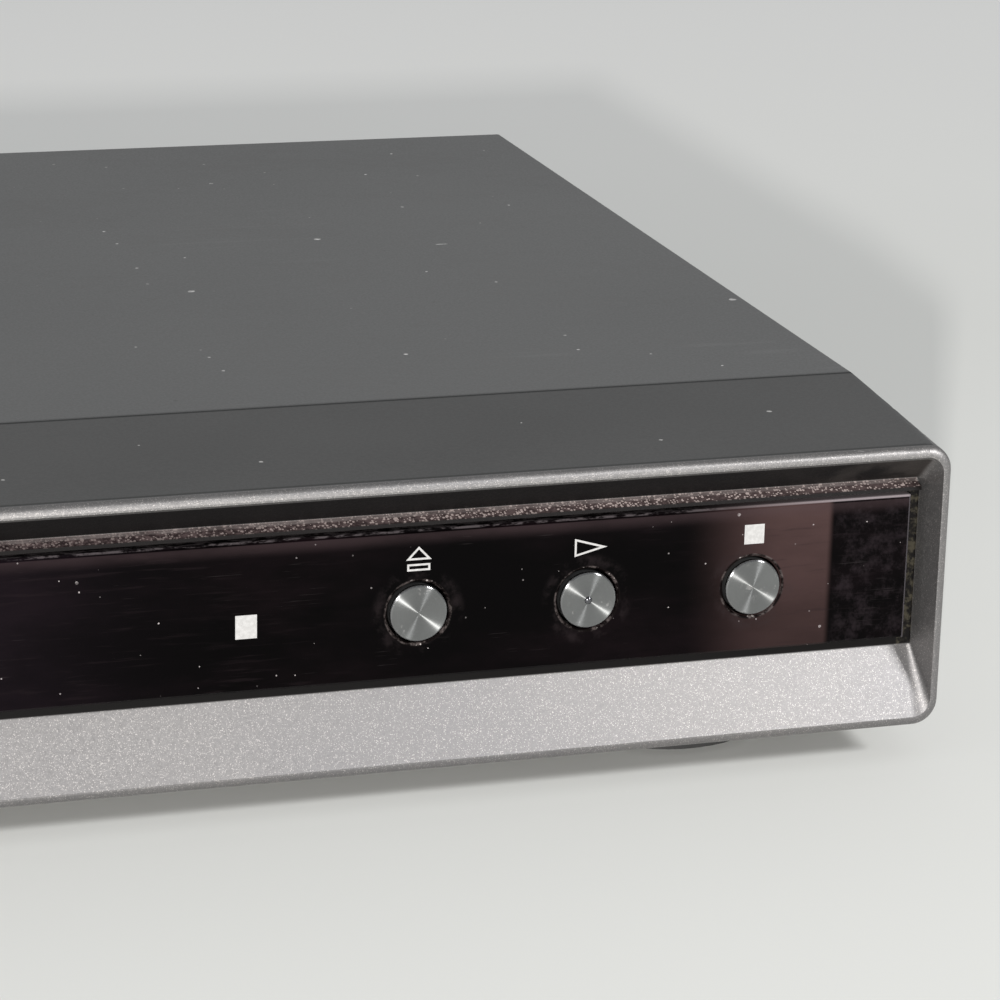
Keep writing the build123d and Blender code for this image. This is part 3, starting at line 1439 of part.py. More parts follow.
save(make_turntable_pad(), "turntable_pad")
save(make_guide_shafts(), "guide_shafts")
save(make_sled_motor(), "sled_motor")
save(make_sled_pinion(), "sled_pinion")
save(make_sled_gear(), "sled_gear")
save(make_pickup_body(), "pickup_body")
save(make_pickup_lens(), "pickup_lens")
save(make_clamper(), "clamper")
save(make_clamper_magnet(), "clamper_magnet")
save(make_flat_board(main_board_x, main_board_y, board_posts), "main_board")
save(make_main_board_chips(), "main_board_chips")
save(make_cans(main_cans), "main_board_capacitors")
save(make_heat_sink(*processor[:2], board_top_z + processor[4]), "processor_heat_sink")
save(make_flat_board(power_board_x, power_board_y, board_posts), "power_board")
save(make_power_transformer(), "power_transformer")
save(make_cans(power_cans), "filter_capacitors")
save(make_power_heat_sink(), "power_heat_sink")
save(make_av_jack_block(), "av_jack_block")
save(make_av_jack_barrels(), "av_jack_barrels")
save(make_s_video_jack(), "s_video_jack")
save(make_power_inlet(), "power_inlet")
save(make_ribbon_cable(), "ribbon_cable")
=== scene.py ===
import json
from math import cos, pi, sin

import bmesh
import bpy
from mathutils import Matrix, Vector


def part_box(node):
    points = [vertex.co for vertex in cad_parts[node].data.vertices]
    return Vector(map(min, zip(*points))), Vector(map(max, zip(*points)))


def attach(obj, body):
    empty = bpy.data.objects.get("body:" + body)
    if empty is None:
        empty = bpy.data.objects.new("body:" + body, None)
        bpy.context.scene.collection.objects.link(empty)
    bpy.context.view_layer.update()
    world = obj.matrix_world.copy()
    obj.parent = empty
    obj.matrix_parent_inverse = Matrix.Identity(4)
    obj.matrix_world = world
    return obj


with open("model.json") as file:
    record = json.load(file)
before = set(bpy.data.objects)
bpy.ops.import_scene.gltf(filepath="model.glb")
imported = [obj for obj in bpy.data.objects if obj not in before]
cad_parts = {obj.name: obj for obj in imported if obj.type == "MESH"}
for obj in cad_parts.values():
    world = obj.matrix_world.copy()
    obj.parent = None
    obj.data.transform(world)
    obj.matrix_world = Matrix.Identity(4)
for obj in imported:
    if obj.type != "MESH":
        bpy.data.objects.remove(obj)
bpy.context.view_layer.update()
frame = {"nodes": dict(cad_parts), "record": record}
MM = 0.001

# the edges of the case that the finishes follow, in metres, from the boxes of its nodes
panel_low, panel_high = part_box("front_panel")
cover_low, cover_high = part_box("top_cover")
window_low, window_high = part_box("window_right")
PANEL_FRONT = panel_low[1]
PANEL_TOP = panel_high[2]
SEAM_Y = cover_low[1]
COVER_SIDE = cover_high[0]
COVER_TOP = cover_high[2]
WINDOW_Y = window_low[1]
WINDOW_LOW = window_low[2]
WINDOW_TOP = window_high[2]
WINDOW_SIDE = window_high[0]

# the recess round the window: its floor lies behind the rim, and it reaches past the window's edges
RECESS_Y = PANEL_FRONT + 4.5 * MM
RECESS_SIDE = WINDOW_SIDE + 1.7 * MM
RECESS_LOW = WINDOW_LOW - 1.45 * MM
RECESS_TOP = WINDOW_TOP + 1.7 * MM

# the camera, solved from the edges of the case in the photograph; its lens and sensor are in mm
CAMERA_PLACE = Vector((39.495, -480.061, 162.532)) * MM
CAMERA_FORWARD = Vector((0.28064, 0.91236, -0.29805)).normalized()
CAMERA_ROLL = 0.022
CAMERA_LENS = 123.286
SENSOR_WIDTH = 36.0
CLIP_START = 0.01
CLIP_END = 20.0

# the low lamp at the front left lights the front and casts the shadow to the right and back;
# the soft lamp high on the right lights the top. Levels are the light that each sends to AIM.
AIM = Vector((0.12, -0.06, 0.03))
KEY_FROM = Vector((-0.347, -0.922, 0.169)).normalized()
KEY_DISTANCE = 1.6
KEY_SIZE = 0.045
KEY_LEVEL = 1.40
KEY_COLOUR = (1.0, 0.98, 0.95)
SOFT_FROM = Vector((0.62, -0.60, 0.50)).normalized()
SOFT_DISTANCE = 1.5
SOFT_SIZE = 0.24
SOFT_LEVEL = 0.78
SOFT_COLOUR = (1.0, 1.0, 1.0)
SKY_STRENGTH = 0.39
SKY_COLOUR = (0.97, 0.99, 1.0, 1.0)

# the floor: half its side, its two tones near the case, its tone at the back, and the y where it starts and
# stops to turn paler; the paler back is painted light, the floor painted lighter where more light would fall
FLOOR_HALF = 6.0
FLOOR_NEAR = ((0.655, 0.66, 0.64), (0.685, 0.69, 0.67))
FLOOR_FAR_LIT = (0.85, 0.85, 0.84)
FLOOR_LIT_FADE = (0.05, 0.55)

# the prints on the window, in mm: how far they stand off and reach into it, their line and their places
PRINT_RISE = 0.03
PRINT_SUNK = 0.01
LINE = 0.25
EJECT_X = 146.12
PLAY_X = 168.05
STOP_X = 189.56
SENSOR_X = 124.7

# the dot on the play button: its size, in mm, and its rings and sides
DOT_RADIUS = 0.48
DOT_RISE = 0.26
DOT_RINGS = 5
DOT_SIDES = 24

# about a button's axis: the edge of its face, painted bright as a painted highlight, and the wear of the
# ring at its bore and the halo round that
FACE_EDGE_HIGHLIGHT = (3.36 * MM, 3.52 * MM)
BORE_RING = (3.98 * MM, 4.28 * MM)
BORE_HALO = (4.3 * MM, 5.6 * MM)

# stretches along x where the front's wear and painted light set in or end: the purple cast on the window,
# the brown painted reflection and the grey dust at its right end, the pale dust and painted highlight on its
# bevel, and the pale dust on the bead
CAST_END = (60 * MM, 125 * MM)
REFLECTION_START = (180 * MM, 195 * MM)
REFLECTION_END = (199.3 * MM, 200.3 * MM)
DUST_START = (199.8 * MM, 201.5 * MM)
BEVEL_DUST_AND_HIGHLIGHT = (178 * MM, 206 * MM)
BEAD_PALE = (60 * MM, 205 * MM)


def grey(value):
    """A colour with no hue."""
    return (value, value, value)


# ---------------------------------------------------------------- camera, lamps, floor and sky
def add_camera():
    """Stands the camera where the photograph was taken: in front, looking right and down."""
    level = CAMERA_FORWARD.cross(Vector((0, 0, 1))).normalized()
    upright = level.cross(CAMERA_FORWARD)
    right = level * cos(CAMERA_ROLL) + upright * sin(CAMERA_ROLL)
    up = upright * cos(CAMERA_ROLL) - level * sin(CAMERA_ROLL)
    turn = Matrix((right, up, -CAMERA_FORWARD)).transposed().to_4x4()
    data = bpy.data.cameras.new("camera")
    data.sensor_width = SENSOR_WIDTH
    data.sensor_fit = "HORIZONTAL"
    data.lens = CAMERA_LENS
    data.clip_start = CLIP_START
    data.clip_end = CLIP_END
    camera = bpy.data.objects.new("camera", data)
    camera.matrix_world = Matrix.Translation(CAMERA_PLACE) @ turn
    bpy.context.scene.collection.objects.link(camera)
    bpy.context.scene.camera = camera


def lamp_power(level, distance):
    """The watts that a small lamp needs to give an irradiance of level times pi at a distance."""
    return level * pi * pi * distance**2


def add_lamp(name, toward, distance, size, level, colour):
    """A square lamp that looks at the front right of the case from one side."""
    place = AIM + toward * distance
    data = bpy.data.lights.new(name, "AREA")
    data.size = size
    data.energy = lamp_power(level, distance)
    data.color = colour
    lamp = bpy.data.objects.new(name, data)
    lamp.location = place
    lamp.rotation_euler = (AIM - place).to_track_quat("-Z", "Y").to_euler()
    bpy.context.scene.collection.objects.link(lamp)


def add_piece(name, mesh, material, smooth=False):
    """Turns a finished bmesh into a new piece of the scene."""
    data = bpy.data.meshes.new(name)
    mesh.to_mesh(data)
    mesh.free()
    for face in data.polygons:
        face.use_smooth = smooth
    data.materials.append(material)
    piece = bpy.data.objects.new(name, data)
    bpy.context.scene.collection.objects.link(piece)
    return piece


def floor_finish():
    """Plain pale paper, uneven by a trace, painted paler towards the back as painted light."""
    n = Nodes("floor")
    near = n.mix(n.ramp(n.noise(3.0, 3.0, 0.5), 0.3, 0.7), *FLOOR_NEAR)
    # painted light: the floor turns paler towards the back
    back = n.ramp(n.axes()[1], *FLOOR_LIT_FADE)
    n.set(Base_Color=n.mix(back, near, FLOOR_FAR_LIT), Roughness=0.9)
    return n.material


def add_stage():
    """A plain pale floor under a pale, even sky."""
    mesh = bmesh.new()
    for x, y in ((-1, -1), (1, -1), (1, 1), (-1, 1)):
        mesh.verts.new((x * FLOOR_HALF, y * FLOOR_HALF, 0))
    mesh.faces.new(mesh.verts)
    floor = add_piece("floor", mesh, floor_finish())
    world = bpy.data.worlds.new("world")
    bpy.context.scene.world = world
    world.use_nodes = True
    sky = world.node_tree.nodes["Background"]
    sky.inputs["Color"].default_value = SKY_COLOUR
    sky.inputs["Strength"].default_value = SKY_STRENGTH


# ---------------------------------------------------------------- material building
class Nodes:
    """A new material with its shader, and short calls for the nodes that feed it."""

    def __init__(self, name):
        self.material = bpy.data.materials.new(name)
        self.material.use_nodes = True
        self.tree = self.material.node_tree
        self.shader = self.tree.nodes["Principled BSDF"]
        self.place = self.add("ShaderNodeTexCoord").outputs["Object"]

    def add(self, kind, **values):
        """A new node with some of its settings."""
        node = self.tree.nodes.new(kind)
        for key, value in values.items():
            setattr(node, key, value)
        return node

    def link(self, source, target):
        self.tree.links.new(source, target)

    def put(self, socket, value):
        """Sets a socket to a number, a colour or another socket."""
        if isinstance(value, bpy.types.NodeSocket):
            self.link(value, socket)
        elif hasattr(value, "__len__") and len(value) == 3 and len(socket.default_value) == 4:
            socket.default_value = (*value, 1.0)
        else:
            socket.default_value = value

    def set(self, **values):
        """Sets the shader's sockets, named with _ for a space."""
        for key, value in values.items():
            self.put(self.shader.inputs[key.replace("_", " ")], value)

    def axes(self):
        """The place's x, y and z."""
        node = self.add("ShaderNodeSeparateXYZ")
        self.link(self.place, node.inputs[0])
        return node.outputs[0], node.outputs[1], node.outputs[2]

    def flat(self, across, along):
        """Two of the place's axes as the first two of a vector, for patterns on a flat face."""
        node = self.add("ShaderNodeCombineXYZ")
        self.link(across, node.inputs[0])
        self.link(along, node.inputs[1])
        return node.outputs[0]

    def noise(self, scale, detail=3.0, rough=0.5, stretch=None):
        """Noise, scale waves to the metre; a stretch above 1 along an axis packs them closer there."""
        vector = self.place
        if stretch:
            mapping = self.add("ShaderNodeMapping")
            mapping.inputs["Scale"].default_value = stretch
            self.link(vector, mapping.inputs["Vector"])
            vector = mapping.outputs["Vector"]
        node = self.add("ShaderNodeTexNoise")
        node.inputs["Scale"].default_value = scale
        node.inputs["Detail"].default_value = detail
        node.inputs["Roughness"].default_value = rough
        self.link(vector, node.inputs["Vector"])
        return node.outputs["Fac"]

    def cells(self, scale):
        """Voronoi cells, scale of them to the metre."""
        node = self.add("ShaderNodeTexVoronoi")
        node.inputs["Scale"].default_value = scale
        self.link(self.place, node.inputs["Vector"])
        return node

    def math(self, operation, a, b=0.0, clamp=False):
        node = self.add("ShaderNodeMath", operation=operation, use_clamp=clamp)
        self.put(node.inputs[0], a)
        self.put(node.inputs[1], b)
        return node.outputs[0]

    def times(self, first, *others):
        """The product of its values."""
        for other in others:
            first = self.math("MULTIPLY", first, other)
        return first

    def most(self, first, *others):
        """The largest of its values."""
        for other in others:
            first = self.math("MAXIMUM", first, other)
        return first

    def ramp(self, value, low, high, out_low=0.0, out_high=1.0):
        """Maps a value's range onto another, clamped and smooth."""
        node = self.add("ShaderNodeMapRange", interpolation_type="SMOOTHSTEP")
        self.put(node.inputs["Value"], value)
        node.inputs["From Min"].default_value = low
        node.inputs["From Max"].default_value = high
        node.inputs["To Min"].default_value = out_low
        node.inputs["To Max"].default_value = out_high
        return node.outputs["Result"]

    def band(self, value, low, high, soft):
        """1 between two places along an axis, falling to 0 over a soft edge."""
        rise = self.ramp(value, low - soft, low + soft)
        fall = self.ramp(value, high - soft, high + soft, 1.0, 0.0)
        return self.times(rise, fall)

    def mix(self, factor, a, b):
        node = self.add("ShaderNodeMix", data_type="RGBA")
        self.put(node.inputs["Factor"], factor)
        self.put(node.inputs["A"], a)
        self.put(node.inputs["B"], b)
        return node.outputs["Result"]

    def lay(self, colour, shade, *masks):
        """Lays a shade over a colour, as much as the product of the masks says."""
        return self.mix(self.times(*masks), colour, shade)

    def bump(self, height, strength, distance):
        node = self.add("ShaderNodeBump")
        node.inputs["Strength"].default_value = strength
        node.inputs["Distance"].default_value = distance
        self.put(node.inputs["Height"], height)
        return node.outputs["Normal"]


def chips(n, plane, scale, size, bare, stretch=1.0):
    """Ragged spots of mixed sizes on a flat face, 1 inside them and 0 outside.

    scale is the number of cells to the metre, with one spot to a cell at most, bare is the share of cells
    that has none, and stretch draws the spots out along the first axis.
    """
    place = n.add("ShaderNodeVectorMath", operation="MULTIPLY")
    n.link(plane, place.inputs[0])
    place.inputs[1].default_value = (1.0 / stretch, 1.0, 1.0)
    warp = n.add("ShaderNodeTexNoise")
    warp.inputs["Scale"].default_value = 0.6 / size
    n.link(place.outputs[0], warp.inputs["Vector"])
    ragged = n.add("ShaderNodeVectorMath", operation="MULTIPLY_ADD")
    n.link(warp.outputs["Color"], ragged.inputs[0])
    ragged.inputs[1].default_value = (size, size, size)
    n.link(place.outputs[0], ragged.inputs[2])
    cell = n.add("ShaderNodeTexVoronoi", voronoi_dimensions="2D")
    cell.inputs["Scale"].default_value = scale
    n.link(ragged.outputs[0], cell.inputs["Vector"])
    pick = n.add("ShaderNodeSeparateColor")
    n.link(cell.outputs["Color"], pick.inputs[0])
    reach = n.ramp(pick.outputs[1], 0.0, 1.0, 0.45 * size * scale, 1.1 * size * scale)
    near = n.math("LESS_THAN", cell.outputs["Distance"], reach)
    return n.times(near, n.math("GREATER_THAN", pick.outputs[0], bare))


def face_centre(node):
    """The x and z of a node's middle, in metres."""
    low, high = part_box(node)
    return (low[0] + high[0]) / 2, (low[2] + high[2]) / 2


def button_centres():
    """The x and z of every button's middle, in metres, read from the frame."""
    return sorted(face_centre(node) for node in frame["nodes"] if node.endswith("_button_cap"))


def around(n, centre):
    """The way out from an axis that runs front to back through a centre, and the distance from it."""
    shift = n.add("ShaderNodeVectorMath", operation="SUBTRACT")
    n.link(n.place, shift.inputs[0])
    shift.inputs[1].default_value = (centre[0], 0.0, centre[1])
    outward = n.add("ShaderNodeVectorMath", operation="MULTIPLY")
    n.link(shift.outputs[0], outward.inputs[0])
    outward.inputs[1].default_value = (1.0, 0.0, 1.0)
    length = n.add("ShaderNodeVectorMath", operation="LENGTH")
    n.link(outward.outputs[0], length.inputs[0])
    return outward.outputs[0], length.outputs["Value"]


# ---------------------------------------------------------------- the cover
def cover_paint():
    """Dark grey baked paint: a fine even texture, dust, hairline scratches and a few chips to the metal."""
    n = Nodes("cover_paint")
    x, y, z = n.axes()
    top = n.flat(x, y)
    on_top = n.ramp(z, COVER_TOP - 0.4 * MM, COVER_TOP - 0.2 * MM)
    broad = n.noise(9.0, 3.0, 0.55)
    colour = n.mix(n.ramp(broad, 0.3, 0.72), grey(0.058), grey(0.069))
    dust = n.ramp(n.noise(45.0, 5.0, 0.7), 0.48, 0.75)
    colour = n.lay(colour, (0.20, 0.195, 0.19), dust, 0.08)

    # dark specks, and chips and nicks down to the metal
    dark = chips(n, top, 64.0, 0.28 * MM, 0.84)
    colour = n.lay(colour, (0.030, 0.028, 0.028), dark, on_top, 0.8)
    large = chips(n, top, 36.0, 0.50 * MM, 0.62)
    small = chips(n, top, 120.0, 0.22 * MM, 0.86)
    nicks = chips(n, top, 55.0, 0.18 * MM, 0.80, stretch=5.0)
    bare = n.times(n.most(large, small, nicks), on_top)
    bright = n.ramp(n.noise(1200.0, 2.0), 0.3, 0.7, 0.35, 0.9)
    colour = n.lay(colour, (0.62, 0.61, 0.60), bare, bright)

    # hairline scratches from side to side, in patches
    hairs = n.ramp(n.noise(14.0, 2.0, 0.5, (1.0, 46.0, 1.0)), 0.62, 0.64)
    patches = n.ramp(n.noise(22.0, 2.0), 0.58, 0.64)
    colour = n.lay(colour, grey(0.3), hairs, patches, 0.06)

    # a pale line along the side folds, partly paint worn thin and partly a painted highlight, and painted
    # shade at the front edge by the seam
    fold_wear_and_highlight = n.ramp(n.math("ABSOLUTE", x), COVER_SIDE - 0.9 * MM, COVER_SIDE - 0.2 * MM)
    thin = n.ramp(n.noise(420.0, 4.0, 0.7), 0.55, 0.70)
    high = n.ramp(z, COVER_TOP - 1.2 * MM, COVER_TOP - 0.5 * MM)
    # partly a painted highlight: the pale line along the side folds
    colour = n.lay(colour, (0.42, 0.41, 0.40), fold_wear_and_highlight, thin, high, 0.45)
    # painted shade: the front edge darkened next to the seam
    seam_shade = n.ramp(y, SEAM_Y + 0.25 * MM, SEAM_Y + 0.7 * MM, 0.8, 0.0)
    colour = n.lay(colour, grey(0.012), seam_shade)

    texture = n.noise(2600.0, 2.0, 0.6)
    rough = n.math("ADD", n.ramp(texture, 0.3, 0.7, 0.38, 0.46), n.times(dust, 0.10))
    height = n.math("ADD", texture, n.times(bare, 3.0))
    n.set(
        Base_Color=colour,
        Roughness=rough,
        Specular_IOR_Level=1.0,
        Normal=n.bump(height, 0.25, 0.02 * MM),
    )
    return n.material


# ---------------------------------------------------------------- the front panel
def flaked_grey(n, broad):
    """Grey lacquer with its own tone in each tiny flake, a few painted pale as painted glints; also the
    flakes' heights.
    """
    flake = n.add("ShaderNodeSeparateColor")
    n.link(n.cells(11000.0).outputs["Color"], flake.inputs[0])
    darker, painted_glint, height = flake.outputs
    colour = n.mix(n.ramp(broad, 0.3, 0.7), (0.198, 0.194, 0.198), (0.226, 0.219, 0.216))
    colour = n.mix(n.ramp(darker, 0.0, 1.0, 0.0, 0.35), colour, (0.13, 0.125, 0.13))
    # painted glints: a few flakes painted pale
    colour = n.mix(n.ramp(painted_glint, 0.87, 0.98, 0.0, 0.55), colour, (0.55, 0.52, 0.50))
    return colour, height


def strip_colour(n, broad, plane, y):
    """The top strip: the cover's dark grey, chipped, with painted shade at its back by the seam and a
    painted shade line in front.
    """
    colour = n.mix(n.ramp(broad, 0.3, 0.7), grey(0.062), grey(0.073))
    spots = chips(n, plane, 60.0, 0.32 * MM, 0.72)
    nicks = chips(n, plane, 45.0, 0.18 * MM, 0.70, stretch=5.0)
    colour = n.lay(colour, (0.55, 0.54, 0.53), n.most(spots, nicks), 0.6)
    # painted shade: the strip darkened next to the seam
    seam_shade = n.ramp(y, SEAM_Y - 0.75 * MM, SEAM_Y - 0.3 * MM, 0.0, 0.85)
    colour = n.lay(colour, grey(0.010), seam_shade)
    # painted shade: a dark line where the flat top turns into the rounded edge
    edge_shade_line = n.band(y, PANEL_FRONT + 1.2 * MM, PANEL_FRONT + 1.7 * MM, 0.3 * MM)
    return n.lay(colour, grey(0.018), edge_shade_line, 0.7)


def lintel_shaded_colour(n, side):
    """The lintel, which slopes back to the window: its dark paint laid nearly black as painted shade, with
    brown smudges at its ends.
    """
    smudge = n.ramp(n.noise(170.0, 4.0), 0.35, 0.65)
    ends = n.ramp(side, RECESS_SIDE - 26 * MM, RECESS_SIDE)
    # painted shade: nearly black, since the lintel faces down
    return n.lay((0.0062, 0.0056, 0.0058), (0.060, 0.052, 0.048), ends, smudge, 0.45)


def bead_colour(n, plane, x, y, z):
    """The bead over the window: purple-brown dust full of grit, a painted highlight at its back, painted
    shade below; also the grit.
    """
    right = n.ramp(x, *BEAD_PALE)
    dust = n.ramp(n.noise(1100.0, 4.0, 0.7), 0.40, 0.62)
    colour = n.mix(dust, (0.010, 0.006, 0.007), (0.060, 0.043, 0.043))
    colour = n.lay(colour, (0.075, 0.055, 0.053), right, 0.4)
    grit = n.most(chips(n, plane, 2600.0, 0.16 * MM, 0.45), chips(n, plane, 1100.0, 0.22 * MM, 0.80))
    colour = n.lay(colour, (0.42, 0.35, 0.33), grit, n.ramp(right, 0.0, 1.0, 0.18, 0.7))
    # painted highlight: a pale uneven line along the bead's back edge
    back = n.ramp(y, RECESS_Y - 0.75 * MM, RECESS_Y - 0.45 * MM)
    uneven_highlight = n.ramp(n.noise(260.0, 3.0), 0.3, 0.6, 0.35, 0.9)
    colour = n.lay(colour, (0.19, 0.165, 0.16), back, uneven_highlight, 0.5)
    # painted shade: the bead's lower edge laid near black, where the gap to the window lies
    gap_shade = n.ramp(z, RECESS_TOP - 0.75 * MM, RECESS_TOP - 0.6 * MM, 1.0, 0.0)
    return n.lay(colour, (0.004, 0.003, 0.003), gap_shade), grit


def recess_colour(n, side):
    """The floor of the recess: black round the window, with dirt caught beyond both its ends."""
    dirt = n.ramp(n.noise(900.0, 4.0, 0.7), 0.45, 0.62)
    ends = n.ramp(side, WINDOW_SIDE - 0.2 * MM, WINDOW_SIDE, 0.0, 0.8)
    return n.lay((0.0035, 0.003, 0.003), (0.045, 0.040, 0.028), dirt, ends)


def edge_chips(n, y, z):
    """Where the lacquer has gone along the rounded front edge of the top."""
    front = n.ramp(y, PANEL_FRONT + 0.6 * MM, PANEL_FRONT + 1.6 * MM, 1.0, 0.0)
    high = n.ramp(z, PANEL_TOP - 1.7 * MM, PANEL_TOP - 1.3 * MM)
    ragged = n.ramp(n.noise(700.0, 3.0, 0.6, (0.5, 1.0, 1.0)), 0.66, 0.70)
    rare = n.ramp(n.noise(50.0, 2.0), 0.50, 0.62)
    return n.times(ragged, rare, front, high)


def panel_paint():
    """Metallic grey lacquer with fine flakes, dark on its top strip, nearly black on its lintel as painted
    shade, grimy round the window.
    """
    n = Nodes("panel_paint")
    x, y, z = n.axes()
    side = n.math("ABSOLUTE", x)
    plane = n.flat(x, y)
    broad = n.noise(14.0, 3.0, 0.5)

    # where each part of the panel lies
    strip = n.times(
        n.ramp(z, PANEL_TOP - 0.95 * MM, PANEL_TOP - 0.75 * MM),
        n.ramp(y, PANEL_FRONT + 0.75 * MM, PANEL_FRONT + 1.15 * MM),
    )
    lintel = n.times(
        n.band(z, RECESS_TOP, PANEL_TOP - 2.1 * MM, 0.15 * MM),
        n.ramp(y, PANEL_FRONT + 0.1 * MM, PANEL_FRONT + 0.5 * MM),
        n.ramp(side, RECESS_SIDE - 0.4 * MM, RECESS_SIDE + 0.9 * MM, 1.0, 0.0),
    )
    bead = n.times(
        n.band(z, RECESS_TOP - 1.35 * MM, RECESS_TOP - 0.02 * MM, 0.06 * MM),
        n.ramp(y, WINDOW_Y - 0.4 * MM, WINDOW_Y - 0.1 * MM),
        n.ramp(side, RECESS_SIDE - 0.4 * MM, RECESS_SIDE - 0.1 * MM, 1.0, 0.0),
    )
    recess = n.times(
        n.band(z, RECESS_LOW - 0.1 * MM, RECESS_TOP - 0.9 * MM, 0.1 * MM),
        n.ramp(y, RECESS_Y - 0.35 * MM, RECESS_Y - 0.15 * MM),
        n.ramp(side, RECESS_SIDE + 0.3 * MM, RECESS_SIDE + 0.8 * MM, 1.0, 0.0),
    )
    chip = edge_chips(n, y, z)
    dull = n.most(strip, lintel, bead, recess)

    body, flake_height = flaked_grey(n, broad)
    grime, grit = bead_colour(n, plane, x, y, z)
    colour = n.lay(body, strip_colour(n, broad, plane, y), strip)
    # painted shade: the lintel laid nearly black
    colour = n.lay(colour, lintel_shaded_colour(n, side), lintel)
    # the bead's dust, with its painted highlight and painted shade
    colour = n.lay(colour, grime, bead)
    colour = n.lay(colour, recess_colour(n, side), recess)
    colour = n.lay(colour, (0.75, 0.73, 0.72), chip, 0.85)

    rough = n.ramp(n.noise(2200.0, 2.0), 0.3, 0.7, 0.42, 0.50)
    rough = n.math("SUBTRACT", rough, n.times(strip, 0.06))
    rough = n.math("ADD", rough, n.times(dull, 0.1), clamp=True)
    height = n.math("ADD", flake_height, n.times(n.most(bead, chip), grit))
    n.set(
        Base_Color=colour,
        Metallic=n.ramp(dull, 0.0, 1.0, 0.9, 0.0),
        Roughness=rough,
        Specular_IOR_Level=0.12,
        Normal=n.bump(height, 0.16, 0.03 * MM),
    )
    return n.material


# ---------------------------------------------------------------- the window
def window_painted_reflection(n, x, z, mottle):
    """Where a dull brown painted reflection lies, from the last button to near the right end."""
    start = n.ramp(x, *REFLECTION_START)
    stop = n.ramp(x, *REFLECTION_END, 1.0, 0.0)
    fade = n.ramp(z, WINDOW_LOW, WINDOW_TOP, 0.55, 1.0)
    return n.times(start, stop, fade, n.ramp(mottle, 0.3, 0.6, 0.7, 1.0))


def window_base(n, x, mottle):
    """Nearly black, with a purple cast that is stronger towards the left."""
    left = n.ramp(x, *CAST_END, 1.0, 0.0)
    colour = n.mix(n.ramp(mottle, 0.40, 0.72), (0.0005, 0.0003, 0.0004), (0.0034, 0.0018, 0.0024))
    return n.lay(colour, (0.0085, 0.0055, 0.0080), left, n.ramp(mottle, 0.25, 0.6, 0.4, 1.0))


def window_scuffs(n, colour):
    """Soft scuffs and hairlines along the window; also the hairlines."""
    soft = n.ramp(n.noise(110.0, 3.0, 0.6, (1.0, 1.0, 14.0)), 0.54, 0.70)
    colour = n.lay(colour, (0.009, 0.006, 0.007), soft, n.ramp(n.noise(45.0, 3.0), 0.42, 0.62), 0.35)
    thin = n.ramp(n.noise(90.0, 3.0, 0.6, (1.0, 1.0, 45.0)), 0.62, 0.66)
    hairs = n.times(thin, n.ramp(n.noise(120.0, 2.0), 0.56, 0.64))
    return n.lay(colour, (0.035, 0.030, 0.031), hairs, 0.25), hairs


def bore_wear(n, colour, face):
    """A soft halo and a broken ring of wear at each button's bore, with painted glints on the ring; also the
    ring and its breaks.
    """
    ring = 0.0
    halo = 0.0
    for centre in button_centres():
        radius = around(n, centre)[1]
        ring = n.most(ring, n.band(radius, *BORE_RING, 0.12 * MM))
        halo = n.most(halo, n.band(radius, *BORE_HALO, 0.6 * MM))
    colour = n.lay(colour, (0.020, 0.015, 0.016), halo, n.ramp(n.noise(300.0, 4.0, 0.7), 0.45, 0.7), 0.35)
    broken = n.ramp(n.noise(650.0, 4.0, 0.7), 0.46, 0.64)
    worn = n.mix(broken, (0.003, 0.002, 0.002), (0.070, 0.058, 0.056))
    # painted glints: bright specks on the worn ring
    painted_glint = chips(n, face, 1500.0, 0.16 * MM, 0.80)
    worn = n.lay(worn, (0.62, 0.57, 0.55), painted_glint, broken, 0.8)
    return n.lay(colour, worn, ring), ring, broken


def bevel_dust_and_highlight(n, colour, x, z, mottle):
    """Dust and a painted highlight on the top bevel, a brown haze below it and a pale painted highlight down
    each end; also the top bevel.
    """
    bevel = n.ramp(z, WINDOW_TOP - 0.26 * MM, WINDOW_TOP - 0.14 * MM)
    caught = n.ramp(n.noise(1300.0, 4.0, 0.7, (0.35, 1.0, 1.0)), 0.44, 0.58)
    # dust, and a painted highlight that grows towards the right end
    dust_and_highlight = n.most(n.times(caught, 0.20), n.ramp(x, *BEVEL_DUST_AND_HIGHLIGHT, 0.0, 0.8))
    colour = n.lay(colour, (0.22, 0.19, 0.20), bevel, dust_and_highlight)
    rise = n.ramp(z, WINDOW_TOP - 2.2 * MM, WINDOW_TOP - 0.5 * MM)
    fall = n.ramp(z, WINDOW_TOP - 0.45 * MM, WINDOW_TOP - 0.3 * MM, 1.0, 0.0)
    colour = n.lay(colour, (0.036, 0.024, 0.026), rise, fall, n.ramp(mottle, 0.3, 0.6, 0.1, 0.4))
    # painted highlight: a pale line down each end of the window
    end_highlight = n.ramp(n.math("ABSOLUTE", x), WINDOW_SIDE - 0.32 * MM, WINDOW_SIDE - 0.22 * MM)
    return n.lay(colour, (0.11, 0.10, 0.11), end_highlight, 0.5), bevel


